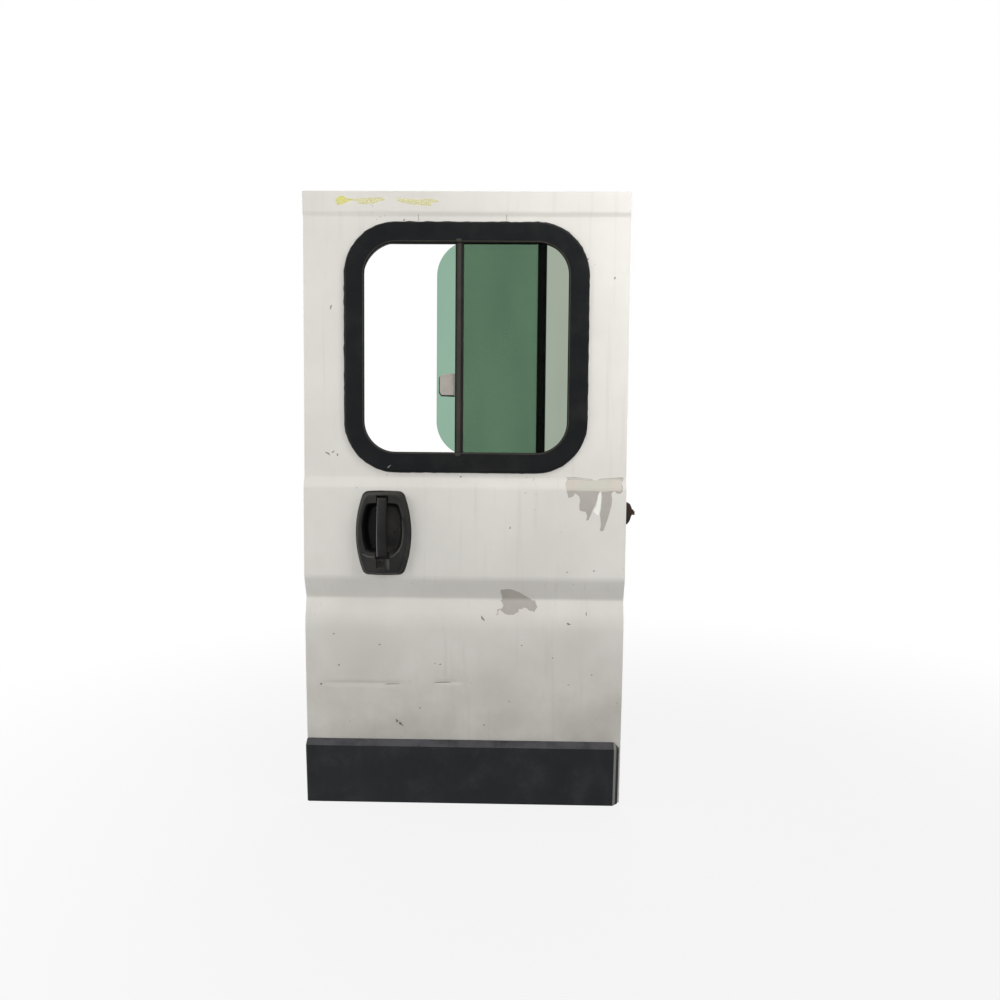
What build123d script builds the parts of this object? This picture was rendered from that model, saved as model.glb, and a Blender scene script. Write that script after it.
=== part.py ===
from build123d import *
import os

# Right-hand rear barn door leaf of a panel van, handle on the closing edge, hinges on the other.
# The door is drawn with X across (0 on the hinge seats, closing edge at minus X), depth behind the
# flat window plane along Y, and height above the lower edge of the skin along Z. At export it is
# moved so that the origin lies in the middle of the lower hinge seat.

# Door leaf
door_width = 795.0
door_height = 1517.0
door_depth = 48.0
skin_sheet = 1.0
inner_sheet = 1.2
hinge_lap = 20.0
closing_lap = 18.0
head_lap = 18.0
sill_lap = 16.0
hem_width = 11.0
lap_gap = 0.3

# Pressing of the outer skin
head_strip = 48.0
head_proud = 5.0
head_step = 10.5
head_bend = 12.0
shoulder_drop = 690.0
shoulder_rise = 25.0
shoulder_bend = 22.0
belt_proud = 9.0
belt_foot_drop = 940.0
belt_foot_bend = 40.0
valley_drop = 993.0
valley_depth = 12.0
valley_bend = 12.0
crest_drop = 1049.0
crest_proud = 2.0
crest_bend = 150.0
tuck_share = 0.656
tuck_depth = 4.0
tuck_bend = 3000.0
sill_depth = 24.0

# Seams, openings and beads of the inner panels
lower_seam_drop = 957.0
waist_seam_drop = 667.0
access_width = 440.0
access_height = 200.0
access_level = 330.0
access_corner = 30.0
latch_access_width = 190.0
latch_access_height = 165.0
latch_access_offset = 175.0
check_access_width = 120.0
check_access_height = 130.0
check_access_offset = 125.0
small_access_corner = 28.0
access_lip = 8.0
collar_flange = 12.0
channel_lap = 14.0
bead_length = 420.0
bead_height = 26.0
bead_depth = 6.0
bead_level = 186.0
plug_hole = 26.0
plug_flange = 34.0
plug_thick = 3.0
plug_drop = 1017.0
plug_spacing = 520.0

# Stiffener bonded behind the skin
stiffener_drop = 1042.0
stiffener_height = 44.0
stiffener_flange = 16.0
stiffener_depth = 16.0
stiffener_end_gap = 14.0

# Hinge seats
hinge_height = 260.0
hinge_head_drop = 257.0
hinge_depth = 30.0
hinge_plate_height = 110.0
hinge_plate_width = 30.0
hinge_plate_thick = 5.0
hinge_plate_corner = 6.0
hinge_bolt_spacing = 64.0
hinge_bolt_hole = 9.5

# Window frame
window_width = 504.0
window_height = 513.0
window_corner = 80.0
window_head_drop = 118.0
window_side_inset = 146.5
frame_face = 46.0
frame_proud = 9.0
frame_outer_round = 6.0
frame_inner_round = 2.0
frame_wall = 3.0
frame_edge_wall = 4.0
frame_lip = 6.0
rebate = 10.0
spigot_wall = 3.0
spigot_past = 3.0
aperture_gap = 2.0
clamp_width = 28.0
clamp_thick = 4.0
clamp_round = 1.5

# Panes, their seals and tracks
glass = 4.0
glass_edge = 8.0
glass_fit = 0.3
gasket_leg = 2.2
gasket_nib = 1.0
mullion_offset = 227.0
mullion_width = 19.0
mullion_proud = 1.6
mullion_back = 2.9
mullion_edge_round = 1.2
pane_gap = 6.0
pane_offset = 179.5
pane_width = 266.0
pane_edge = 6.0
pane_bar_width = 22.0
pane_bar_wall = 2.0
track_wall = 2.2
track_drop = 2.2

# Latch on the sliding pane
tab_width = 39.0
tab_height = 57.0
tab_short_height = 38.0
tab_shoulder = 10.0
tab_shoulder_height = 55.0
tab_thick = 4.0
tab_corner = 3.0
tab_inset = 5.5
tab_drop = 345.0
tab_gap = 0.3
grip_width = 22.0
grip_height = 46.0
grip_thick = 12.0

# Outside handle
handle_inset = 198.0
handle_drop = 828.0
bezel_width = 138.0
bezel_end_width = 98.0
bezel_height = 210.0
bezel_end_bow = 2.0
bezel_corner = 18.0
bezel_proud = 22.0
bezel_draft = 9.0
bezel_round = 5.0
bezel_seat = 10.0
bowl_width = 101.0
bowl_end_width = 78.0
bowl_height = 126.0
bowl_rise = 13.0
bowl_corner = 12.0
bowl_floor_round = 8.0
bowl_depth = 38.0
bowl_draft = 9.0
bowl_wall = 2.5
lever_length = 145.0
lever_width = 27.5
lever_head_width = 23.0
lever_rise = 15.3
lever_bow = 11.0
lever_thick = 12.0
lever_tail_thick = 9.0
lever_proud = 3.0
lever_corner = 6.0
lever_round = 3.5
lever_side_gap = 3.0
lever_head_gap = 6.5
lever_slot_corner = 4.0
lever_tail_gap = 6.0
pin_diameter = 6.0
pin_drop = 9.0
pin_hold = 9.0
pin_fit = 0.05
slot_backing = 2.0
slot_backing_edge = 3.0
lock_offset = 3.6
lock_pocket_width = 31.0
lock_pocket_height = 30.0
lock_pocket_lean = 4.5
lock_pocket_floor = 20.0
lock_pocket_depth = 5.0
barrel_diameter = 16.0
barrel_drop = 71.5
barrel_proud = 1.0
barrel_tail = 12.0
barrel_boss_wall = 3.0
barrel_fit = 0.2
key_slot_length = 8.0
key_slot_width = 2.0
key_slot_depth = 3.0

# Lower cladding
cladding_top = 161.0
cladding_drop = 3.0
cladding_closing_past = 1.0
cladding_hinge_short = 4.0
cladding_slope = 12.5
cladding_lip = 3.0
cladding_front_depth = -4.0
cladding_foot_depth = 10.0
cladding_wall = 3.0
cladding_hinge_chamfer = 14.0
cladding_closing_chamfer = 4.0

# Closing-edge latch, rods and end bolts
latch_drop = 828.0
latch_height = 96.0
latch_width = 34.0
latch_front = 6.0
latch_bolt_height = 18.0
latch_bolt_depth = 14.0
latch_bolt_throw = 13.0
latch_bolt_inside = 24.0
latch_fit = 0.3
rod_diameter = 6.0
rod_inset = 18.0
rod_depth = 37.0
end_bolt_diameter = 12.0
end_bolt_throw = 11.0
end_bolt_length = 66.0
end_bolt_bevel = 4.0
guide_height = 34.0
guide_width = 26.0
guide_depth = 16.0

# Door check
check_drop = 774.5
check_depth = 20.0
strap_height = 26.0
strap_thick = 6.0
strap_inside = 150.0
strap_past_edge = 25.0
strap_tip_height = 9.0
strap_stop_height = 42.0
strap_stop_length = 8.0
strap_fit = 0.6
check_box_length = 62.0
check_box_height = 60.0
check_box_depth = 34.0
check_slot_gap = 2.0
buffer_radius = 27.5
buffer_thick = 15.0
buffer_past_edge = 23.0
buffer_fit = 0.1

# Inner release
release_offset = 330.0
release_drop = 817.0
release_width = 92.0
release_height = 60.0
release_thick = 5.0
release_cup = 3.0
release_corner = 10.0
paddle_width = 52.0
paddle_height = 34.0
paddle_thick = 7.0

# Lines that several pieces share
box_right = -(hinge_plate_thick + lap_gap)
skin_right = box_right + hinge_lap
skin_left = skin_right - door_width
box_left = skin_left + closing_lap
box_top = door_height - head_lap
box_bottom = sill_lap
box_middle = (box_left + box_right) / 2
shoulder_level = door_height - shoulder_drop
belt_foot_level = door_height - belt_foot_drop
valley_level = door_height - valley_drop
crest_level = door_height - crest_drop
tuck_level = tuck_share * crest_level
stiffener_level = door_height - stiffener_drop
plug_level = door_height - plug_drop
lower_seam = door_height - lower_seam_drop
waist_seam = door_height - waist_seam_drop
handle_level = door_height - handle_drop
latch_level = door_height - latch_drop
check_level = door_height - check_drop
release_level = door_height - release_drop
hinge_spacing = door_height - hinge_head_drop - hinge_height
hem_inset = skin_sheet + lap_gap
inside_left = box_left + inner_sheet
inside_right = box_right - inner_sheet
inside_bottom = box_bottom + inner_sheet
inside_top = box_top - inner_sheet
flange_front = skin_sheet + lap_gap
flange_back = flange_front + inner_sheet
hem_front = flange_back + lap_gap
hem_back = hem_front + skin_sheet
inner_face = door_depth - inner_sheet
lap_back = inner_face - lap_gap
lap_front = lap_back - inner_sheet
window_left = skin_left + window_side_inset
window_right = window_left + window_width
window_top = door_height - window_head_drop
window_bottom = window_top - window_height
window_middle = (window_left + window_right) / 2
window_level = (window_top + window_bottom) / 2
aperture = rebate + spigot_wall + aperture_gap
handle_across = skin_left + handle_inset
rod_across = box_left + rod_inset
latch_depth = (latch_front + inner_face) / 2
far = 2.0 * door_height
to_seat = Pos(0, -hinge_depth, -hinge_height)

skin_points = [
    (sill_depth, 0),
    (tuck_depth, tuck_level),
    (-crest_proud, crest_level),
    (valley_depth, valley_level),
    (-belt_proud, belt_foot_level),
    (-belt_proud, shoulder_level - shoulder_rise),
    (0, shoulder_level),
    (0, door_height - head_strip - head_step),
    (-head_proud, door_height - head_strip),
    (-head_proud, door_height),
]
skin_bends = [
    tuck_bend,
    crest_bend,
    valley_bend,
    belt_foot_bend,
    shoulder_bend,
    shoulder_bend,
    head_bend,
    head_bend,
]


def block(left, right, front, back, bottom, top):
    """Box between two places across, two depths and two heights."""
    middle = Pos((left + right) / 2, (front + back) / 2, (bottom + top) / 2)
    return middle * Box(right - left, back - front, top - bottom)


def plate(outline, front, back):
    """Outline drawn across and up, made solid from the front depth to the back depth."""
    return extrude(Plane.XZ.offset(-back) * outline, amount=back - front)


def side_shape(outline, left, right):
    """Outline drawn in depth and height, made solid between two places across."""
    return Pos(left, 0, 0) * extrude(Plane.YZ * outline, amount=right - left)


def skin_line(shift):
    """Side view of the skin's outer surface, moved inwards by a shift."""
    points = [(depth + shift, height) for depth, height in skin_points]
    return FilletPolyline(*points, radius=skin_bends)


def behind_skin(near, back, bottom, top, left, right):
    """Solid that follows the skin between two depths behind its outer surface."""
    front_line = skin_line(near)
    back_line = skin_line(back)
    lower_end = Line(front_line @ 0, back_line @ 0)
    upper_end = Line(front_line @ 1, back_line @ 1)
    outline = make_face([front_line, upper_end, back_line, lower_end])
    sheet = side_shape(outline, left, right)
    return sheet & block(left, right, -far, far, bottom, top)


def window_outline(grow):
    """Visible opening of the window frame, grown outwards on every side."""
    width = window_width + 2 * grow
    height = window_height + 2 * grow
    return Pos(window_middle, window_level) * RectangleRounded(width, height, window_corner + grow)


def window_ring(inside, outside, front, back):
    """Ring around the window between two offsets from the visible opening."""
    return plate(window_outline(outside), front, back) - plate(window_outline(inside), front, back)


def rounded_opening(across, level, width, height, corner):
    """Outline of a rounded opening in the inner panel."""
    return Pos(across, level) * RectangleRounded(width, height, corner)


def barrel_outline(width, end_width, height, bow, corner):
    """Outline with bowed sides and nearly flat ends."""
    half = height / 2 - bow
    right = ThreePointArc((end_width / 2, half), (width / 2, 0), (end_width / 2, -half))
    left = ThreePointArc((-end_width / 2, half), (-width / 2, 0), (-end_width / 2, -half))
    top = ThreePointArc((-end_width / 2, half), (0, height / 2), (end_width / 2, half))
    bottom = ThreePointArc((-end_width / 2, -half), (0, -height / 2), (end_width / 2, -half))
    outline = make_face([right, top, left, bottom])
    return fillet(outline.vertices(), corner)


def cross_pin(diameter, left, right, depth, level):
    """Round bar lying across the door."""
    length = right - left
    return Pos((left + right) / 2, depth, level) * Rot(0, 90, 0) * Cylinder(diameter / 2, length)


def upright(diameter, across, depth, bottom, top):
    """Round bar standing upright in the door."""
    return Pos(across, depth, (bottom + top) / 2) * Cylinder(diameter / 2, top - bottom)


hinge_levels = [hinge_height, hinge_height + hinge_spacing]
bolt_levels = [level + side * hinge_bolt_spacing / 2 for level in hinge_levels for side in (-1, 1)]


def make_outer_skin():
    """Pressed outer skin with its edges hemmed round the inner panel's flange."""
    skin = behind_skin(0, skin_sheet, 0, door_height, skin_left, skin_right)
    sides = [
        (skin_left, skin_left + skin_sheet, skin_left + hem_width),
        (skin_right - skin_sheet, skin_right, skin_right - hem_width),
    ]
    for left, right, turned in sides:
        skin += behind_skin(0, hem_back, 0, door_height, left, right)
        skin += behind_skin(hem_front, hem_back, 0, door_height, min(left, turned), max(right, turned))
    ends = [
        (0, skin_sheet, 0, hem_width),
        (door_height - skin_sheet, door_height, door_height - hem_width, door_height),
    ]
    for low, high, turned_low, turned_high in ends:
        skin += behind_skin(0, hem_back, low, high, skin_left, skin_right)
        skin += behind_skin(hem_front, hem_back, turned_low, turned_high, skin_left, skin_right)
    skin -= plate(window_outline(aperture), -far, far)
    seat = barrel_outline(
        bezel_width - 2 * bezel_seat,
        bezel_end_width - 2 * bezel_seat,
        bezel_height - 2 * bezel_seat,
        bezel_end_bow,
        bezel_corner,
    )
    skin -= plate(Pos(handle_across, handle_level) * seat, -far, far)
    return skin


def inner_sheet_between(bottom, top):
    """Flat inner sheet between two heights, with the window aperture cut out of it."""
    sheet = block(box_left, box_right, inner_face, door_depth, bottom, top)
    return sheet - plate(window_outline(aperture), -far, far)


def with_access(panel, across, level, width, height, corner):
    """Panel with one access opening more, its edge turned into the door as a lip."""
    grown_width = width + 2 * inner_sheet
    grown_height = height + 2 * inner_sheet
    lip = rounded_opening(across, level, grown_width, grown_height, corner + inner_sheet)
    panel += plate(lip, door_depth - access_lip, door_depth)
    return panel - plate(rounded_opening(across, level, width, height, corner), inner_face - access_lip, far)


def make_inner_panel_lower():
    """Lower inner panel with the large access opening, a bead and two plug holes."""
    panel = inner_sheet_between(box_bottom, lower_seam - lap_gap)
    panel = with_access(panel, box_middle, access_level, access_width, access_height, access_corner)
    place = Pos(box_middle, bead_level)
    bead = place * SlotOverall(bead_length, bead_height)
    groove = place * SlotOverall(bead_length - 2 * inner_sheet, bead_height - 2 * inner_sheet)
    panel += plate(bead, inner_face - bead_depth, door_depth)
    panel -= plate(groove, door_depth - bead_depth, far)
    for side in (-1, 1):
        hole = Pos(box_middle + side * plug_spacing / 2, plug_level) * Circle(plug_hole / 2)
        panel -= plate(hole, inner_face - 1, far)
    return panel


def make_inner_panel_waist():
    """Inner panel of the waist, with the openings behind the handle and the door check."""
    panel = inner_sheet_between(lower_seam, waist_seam)
    latch_across = box_left + latch_access_offset
    check_across = box_right - check_access_offset
    panel = with_access(
        panel, latch_across, latch_level, latch_access_width, latch_access_height, small_access_corner
    )
    return with_access(
        panel, check_across, check_level, check_access_width, check_access_height, small_access_corner
    )


def make_inner_panel_upper():
    """Inner panel round the window."""
    return inner_sheet_between(waist_seam + lap_gap, box_top)


def make_window_collar():
    """Pressed collar that joins skin and inner panel round the window."""
    collar = window_ring(aperture, aperture + inner_sheet, flange_front, lap_back)
    collar += window_ring(aperture, aperture + collar_flange, flange_front, flange_back)
    collar += window_ring(aperture, aperture + collar_flange, lap_front, lap_back)
    return collar


def side_channel(wall_left, flange_left, flange_right, lap_left):
    """Channel along an upright edge: flange in the hem, box wall and lap under the inner panel."""
    wall_right = wall_left + inner_sheet
    low = hem_inset
    high = door_height - hem_inset
    channel = behind_skin(flange_front, flange_back, low, high, flange_left, flange_right)
    wall = behind_skin(flange_front, far, box_bottom, box_top, wall_left, wall_right)
    channel += wall & block(wall_left, wall_right, -far, lap_back, box_bottom, box_top)
    lap_right = lap_left + channel_lap
    channel += block(lap_left, lap_right, lap_front, lap_back, inside_bottom + lap_gap, inside_top - lap_gap)
    return channel


def make_closing_channel():
    """Channel of the closing edge, with the mouth for the latch bolt."""
    channel = side_channel(box_left, skin_left + hem_inset, inside_left, box_left)
    half_height = latch_bolt_height / 2 + latch_fit
    half_depth = latch_bolt_depth / 2 + latch_fit
    channel -= block(
        box_left - 1,
        inside_left + 1,
        latch_depth - half_depth,
        latch_depth + half_depth,
        latch_level - half_height,
        latch_level + half_height,
    )
    return channel


def make_hinge_channel():
    """Channel of the hinge edge, with the hinge bolt holes and the slot for the check strap."""
    channel = side_channel(inside_right, inside_right, skin_right - hem_inset, box_right - channel_lap)
    for level in bolt_levels:
        channel -= cross_pin(hinge_bolt_hole, inside_right - 1, 0, hinge_depth, level)
    half_depth = strap_thick / 2 + check_slot_gap
    half_height = strap_height / 2 + check_slot_gap
    channel -= block(
        inside_right - 1,
        box_right + 1,
        check_depth - half_depth,
        check_depth + half_depth,
        check_level - half_height,
        check_level + half_height,
    )
    return channel


def end_channel(wall_low, flange_low, flange_high, lap_low):
    """Channel along the top or foot of the door, fitted between the side channels."""
    left = inside_left + lap_gap
    right = inside_right - lap_gap
    wall_high = wall_low + inner_sheet
    channel = behind_skin(flange_front, flange_back, flange_low, flange_high, left, right)
    wall = behind_skin(flange_front, far, wall_low, wall_high, left, right)
    channel += wall & block(left, right, -far, lap_back, wall_low, wall_high)
    lap_left = box_left + channel_lap + lap_gap
    lap_right = box_right - channel_lap - lap_gap
    channel += block(lap_left, lap_right, lap_front, lap_back, lap_low, lap_low + channel_lap)
    bolt_hole = end_bolt_diameter + 2 * latch_fit
    channel -= upright(bolt_hole, rod_across, rod_depth, wall_low - 1, wall_high + 1)
    return channel


def make_head_channel():
    """Channel along the top edge."""
    return end_channel(inside_top, inside_top, door_height - hem_inset, box_top - channel_lap)


def make_sill_channel():
    """Channel along the foot of the door."""
    return end_channel(box_bottom, hem_inset, inside_bottom, box_bottom)


def make_skin_stiffener():
    """Hat-section rail bonded behind the skin across the lower half of the door."""
    left = box_left + inner_sheet + stiffener_end_gap
    right = box_right - inner_sheet - stiffener_end_gap
    low = stiffener_level - stiffener_height / 2
    high = stiffener_level + stiffener_height / 2
    front = skin_sheet + lap_gap
    rail = behind_skin(
        front, front + inner_sheet, low - stiffener_flange, high + stiffener_flange, left, right
    )
    rail += behind_skin(front, front + stiffener_depth, low, high, left, right)
    rail -= behind_skin(
        front - 1, front + stiffener_depth - inner_sheet, low + inner_sheet, high - inner_sheet, left, right
    )
    return rail


def make_hinge_plate(level):
    """Packing plate on the hinge edge, its outer face the seat for one hinge."""
    outline = Rectangle(hinge_plate_width, hinge_plate_height)
    outline = fillet(outline.vertices(), hinge_plate_corner)
    body = side_shape(Pos(hinge_depth, level) * outline, -hinge_plate_thick, 0)
    for side in (-1, 1):
        place = level + side * hinge_bolt_spacing / 2
        body -= cross_pin(hinge_bolt_hole, -2 * hinge_plate_thick, hinge_plate_thick, hinge_depth, place)
    return body


def make_window_frame():
    """Outer window frame: rounded face, inward lip and the spigot that passes through the door."""
    face_back = -lap_gap
    frame = window_ring(0, frame_face, -frame_proud, face_back)
    front_edges = frame.faces().sort_by(Axis.Y)[0].edges()
    inner_edges = front_edges.filter_by(
        lambda edge: abs(edge.center().X - window_middle) < window_width / 2 + 1
        and abs(edge.center().Z - window_level) < window_height / 2 + 1
    )
    outer_edges = [edge for edge in front_edges if edge not in inner_edges]
    frame = fillet(outer_edges, frame_outer_round)
    front_edges = frame.faces().sort_by(Axis.Y)[0].edges()
    inner_edges = front_edges.filter_by(
        lambda edge: abs(edge.center().X - window_middle) < window_width / 2 + 1
        and abs(edge.center().Z - window_level) < window_height / 2 + 1
    )
    frame = fillet(inner_edges, frame_inner_round)
    frame -= plate(window_outline(rebate), frame_lip - frame_proud, far)
    hollow_inside = rebate + spigot_wall
    frame -= window_ring(hollow_inside, frame_face - frame_edge_wall, frame_wall - frame_proud, far)
    spigot_back = door_depth + spigot_past
    frame += window_ring(rebate, rebate + spigot_wall, frame_lip - frame_proud, spigot_back)
    return frame


def make_window_clamp_ring():
    """Ring on the inner panel that holds the window frame in the door."""
    inside = rebate + spigot_wall + lap_gap
    front = door_depth + lap_gap
    ring = window_ring(inside, inside + clamp_width, front, front + clamp_thick)
    back_edges = ring.faces().sort_by(Axis.Y)[-1].edges()
    return fillet(back_edges, clamp_round)


glass_front = frame_lip - frame_proud + gasket_leg + 2 * glass_fit
glass_back = glass_front + glass
pane_front = glass_back + pane_gap
pane_back = pane_front + glass
mullion_left = window_left + mullion_offset
mullion_right = mullion_left + mullion_width
mullion_middle = (mullion_left + mullion_right) / 2
pane_left = window_left + pane_offset
pane_right = pane_left + pane_width
track_left = window_left + window_corner
track_right = window_right - window_corner


def fixed_side(shape, left):
    """Part of a window piece that lies to the hinge side of a place across."""
    return shape & block(left, window_right + rebate, -far, far, 0, far)


def make_fixed_glass():
    """Fixed pane, its free edge held in the mullion."""
    pane = plate(window_outline(glass_edge), glass_front, glass_back)
    return fixed_side(pane, mullion_middle)


def make_glass_gasket():
    """Rubber channel round the three framed edges of the fixed pane."""
    front = glass_front - glass_fit - gasket_leg
    back = glass_back + glass_fit + gasket_leg
    channel = window_ring(gasket_nib, rebate - glass_fit, front, back)
    slot = plate(window_outline(glass_edge + glass_fit), glass_front - glass_fit, glass_back + glass_fit)
    return fixed_side(channel - slot, mullion_right + glass_fit)


def make_mullion():
    """Upright bar between the panes, grooved for the free edge of the fixed pane."""
    front = glass_front - gasket_leg - glass_fit
    back = glass_back + mullion_back
    reach = rebate - 1
    bar = block(mullion_left, mullion_right, front, back, window_bottom - reach, window_top + reach)
    cap = block(
        mullion_left,
        mullion_right,
        front - mullion_proud,
        front,
        window_bottom + glass_fit,
        window_top - glass_fit,
    )
    long_edges = cap.faces().sort_by(Axis.Y)[0].edges().filter_by(Axis.Z)
    bar += fillet(long_edges, mullion_edge_round)
    bar -= block(
        mullion_middle - glass_fit,
        mullion_right + 1,
        glass_front - glass_fit,
        glass_back + glass_fit,
        0,
        far,
    )
    return bar


def make_sliding_glass():
    """Sliding pane, two corners rounded to the frame, standing part open."""
    low = window_bottom - pane_edge
    high = window_top + pane_edge
    outline = Pos((pane_left + pane_right) / 2, (low + high) / 2) * Rectangle(pane_width, high - low)
    corners = outline.vertices().sort_by(Axis.X)[:2]
    return plate(fillet(corners, window_corner + pane_edge), pane_front, pane_back)


def make_sliding_glass_bar():
    """Channel along the free upright edge of the sliding pane."""
    front = pane_front - glass_fit - pane_bar_wall
    back = pane_back + glass_fit + pane_bar_wall
    left = pane_right + pane_bar_wall - pane_bar_width
    right = pane_right + pane_bar_wall
    bar = block(left, right, front, back, window_bottom + glass_fit, window_top - glass_fit)
    bar -= block(left - 1, pane_right + glass_fit, pane_front - glass_fit, pane_back + glass_fit, 0, far)
    return bar


def make_slide_track(level, outwards, drop):
    """Channel that guides one edge of the sliding pane, its legs hanging below the window's edge by a drop."""
    front = pane_front - glass_fit - track_wall
    back = pane_back + glass_fit + track_wall
    near = level - drop
    away = level + outwards * (rebate - glass_fit)
    track = block(track_left, track_right, front, back, min(near, away), max(near, away))
    edge = level + outwards * (pane_edge + glass_fit)
    open_end = near - outwards
    low = min(edge, open_end)
    high = max(edge, open_end)
    track -= block(
        track_left - 1, track_right + 1, pane_front - glass_fit, pane_back + glass_fit, low, high
    )
    return track


def make_window_latch():
    """Finger tab on the outer face of the sliding pane."""
    left = pane_left + tab_inset
    right = left + tab_width
    level = window_top - tab_drop
    shoulder = left + tab_shoulder
    corners = [
        (left, level - tab_short_height / 2),
        (shoulder, level - tab_shoulder_height / 2),
        (right, level - tab_height / 2),
        (right, level + tab_height / 2),
        (shoulder, level + tab_shoulder_height / 2),
        (left, level + tab_short_height / 2),
    ]
    outline = make_face(Polyline(*corners, close=True))
    outline = fillet(outline.vertices(), tab_corner)
    return plate(outline, pane_front - tab_gap - tab_thick, pane_front - tab_gap)


def make_window_latch_grip():
    """Grip for the sliding pane on its inner face."""
    across = pane_left + tab_inset + tab_width / 2
    level = window_top - tab_drop
    outline = Pos(across, level) * RectangleRounded(grip_width, grip_height, tab_corner)
    return plate(outline, pane_back + tab_gap, pane_back + tab_gap + grip_thick)


seat_depth = -belt_proud - lap_gap
rim_depth = seat_depth - bezel_proud
bowl_level = handle_level + bowl_rise
bowl_floor = rim_depth + bowl_depth
lever_top = handle_level + lever_length / 2 + lever_rise
lever_bottom = lever_top - lever_length
pin_level = lever_top - pin_drop
pin_depth = rim_depth + pin_drop - lever_proud
slot_half = lever_head_width / 2 + lever_side_gap
barrel_level = handle_level - barrel_drop
barrel_across = handle_across - lock_offset
lock_floor = rim_depth + lock_pocket_depth


def barrel_loft(width, end_width, height, corner, level, wide_depth, narrow_depth, draft):
    """Barrel-shaped solid at the handle that narrows by a draft from one depth to another."""
    place = Pos(handle_across, level)
    wide = barrel_outline(width, end_width, height, bezel_end_bow, corner)
    narrow = barrel_outline(
        width - 2 * draft, end_width - 2 * draft, height - 2 * draft, bezel_end_bow, corner
    )
    wide_face = Plane.XZ.offset(-wide_depth) * place * wide
    narrow_face = Plane.XZ.offset(-narrow_depth) * place * narrow
    return loft([wide_face, narrow_face])


def make_handle_bezel():
    """Moulded handle surround with a dished bowl behind the lever."""
    body = barrel_loft(
        bezel_width,
        bezel_end_width,
        bezel_height,
        bezel_corner,
        handle_level,
        seat_depth,
        rim_depth,
        bezel_draft,
    )
    body = fillet(body.faces().sort_by(Axis.Y)[0].edges(), bezel_round)
    shell = barrel_loft(
        bowl_width + 2 * bowl_wall,
        bowl_end_width + 2 * bowl_wall,
        bowl_height + 2 * bowl_wall,
        bowl_corner + bowl_wall,
        bowl_level,
        rim_depth + bezel_round,
        bowl_floor + bowl_wall,
        bowl_draft,
    )
    shell = fillet(shell.faces().sort_by(Axis.Y)[-1].edges(), bowl_floor_round + bowl_wall)
    hollow = barrel_loft(
        bowl_width,
        bowl_end_width,
        bowl_height,
        bowl_corner,
        bowl_level,
        rim_depth,
        bowl_floor,
        bowl_draft,
    )
    hollow = fillet(hollow.faces().sort_by(Axis.Y)[-1].edges(), bowl_floor_round)
    boss = Pos(barrel_across, barrel_level) * Circle(barrel_diameter / 2 + barrel_boss_wall)
    body += shell
    body += plate(boss, seat_depth, seat_depth + barrel_tail)
    slot_top = lever_top + lever_head_gap
    slot = RectangleRounded(2 * slot_half, 2 * (slot_top - bowl_level), lever_slot_corner)
    slot_back = seat_depth
    backing_top = handle_level + bezel_height / 2 - bezel_seat - slot_backing_edge
    body += block(
        handle_across - slot_half - slot_backing_edge,
        handle_across + slot_half + slot_backing_edge,
        seat_depth,
        seat_depth + slot_backing,
        bowl_level + bowl_height / 2 - bowl_draft,
        backing_top,
    )
    body -= hollow
    upper_half = block(handle_across - far, handle_across + far, -far, slot_back, bowl_level, far)
    body -= plate(Pos(handle_across, bowl_level) * slot, -far, slot_back) & upper_half
    notch_back = rim_depth + lever_tail_thick + lever_tail_gap - lever_proud
    notch_half = lever_width / 2 + lever_side_gap
    notch = Rectangle(2 * notch_half, 2 * (bowl_level - lever_bottom + lever_tail_gap))
    lower_half = block(handle_across - far, handle_across + far, -far, notch_back, 0, bowl_level)
    body -= plate(Pos(handle_across, bowl_level) * notch, -far, notch_back) & lower_half
    reach = slot_half + pin_hold
    bore = pin_diameter + 2 * pin_fit
    body -= cross_pin(bore, handle_across - reach, handle_across + reach, pin_depth, pin_level)
    pocket_mouth = Rectangle(lock_pocket_width, lock_pocket_height)
    pocket_floor = Rectangle(lock_pocket_floor, lock_pocket_height - lock_pocket_depth)
    mouth_place = Pos(barrel_across + lock_pocket_lean, barrel_level)
    mouth_face = Plane.XZ.offset(-rim_depth) * mouth_place * pocket_mouth
    floor_face = Plane.XZ.offset(-lock_floor) * Pos(barrel_across, barrel_level) * pocket_floor
    body -= loft([mouth_face, floor_face])
    barrel_bore = Pos(barrel_across, barrel_level) * Circle(barrel_diameter / 2 + barrel_fit)
    body -= plate(barrel_bore, -far, far)
    return body


def make_handle_lever():
    """Arched pull lever, narrower towards its pivoted upper end."""
    front = rim_depth - lever_proud
    middle = (lever_top + lever_bottom) / 2
    back = front + lever_tail_thick
    heel = pin_depth + pin_drop
    heel_low = pin_level - pin_drop
    neck = heel_low - pin_drop
    bow_front = ThreePointArc((front, lever_bottom), (front - lever_bow, middle), (front, lever_top))
    crown = Line((front, lever_top), (heel, lever_top))
    heel_line = Line((heel, lever_top), (heel, heel_low))
    step = Line((heel, heel_low), (back, neck))
    bow_back = ThreePointArc((back, neck), (front - lever_bow + lever_thick, middle), (back, lever_bottom))
    tail = Line((back, lever_bottom), (front, lever_bottom))
    side_outline = make_face([bow_front, crown, heel_line, step, bow_back, tail])
    body = side_shape(side_outline, handle_across - lever_width, handle_across + lever_width)
    front_outline = make_face(
        Polyline(
            (handle_across - lever_width / 2, lever_bottom),
            (handle_across + lever_width / 2, lever_bottom),
            (handle_across + lever_head_width / 2, lever_top),
            (handle_across - lever_head_width / 2, lever_top),
            close=True,
        )
    )
    front_outline = fillet(front_outline.vertices(), lever_corner)
    body &= plate(front_outline, -far, far)
    front_face = body.faces().sort_by(Axis.Y)[0]
    body = fillet(front_face.edges(), lever_round)
    left = handle_across - lever_width
    right = handle_across + lever_width
    body -= cross_pin(pin_diameter + 2 * pin_fit, left, right, pin_depth, pin_level)
    return body


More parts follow.
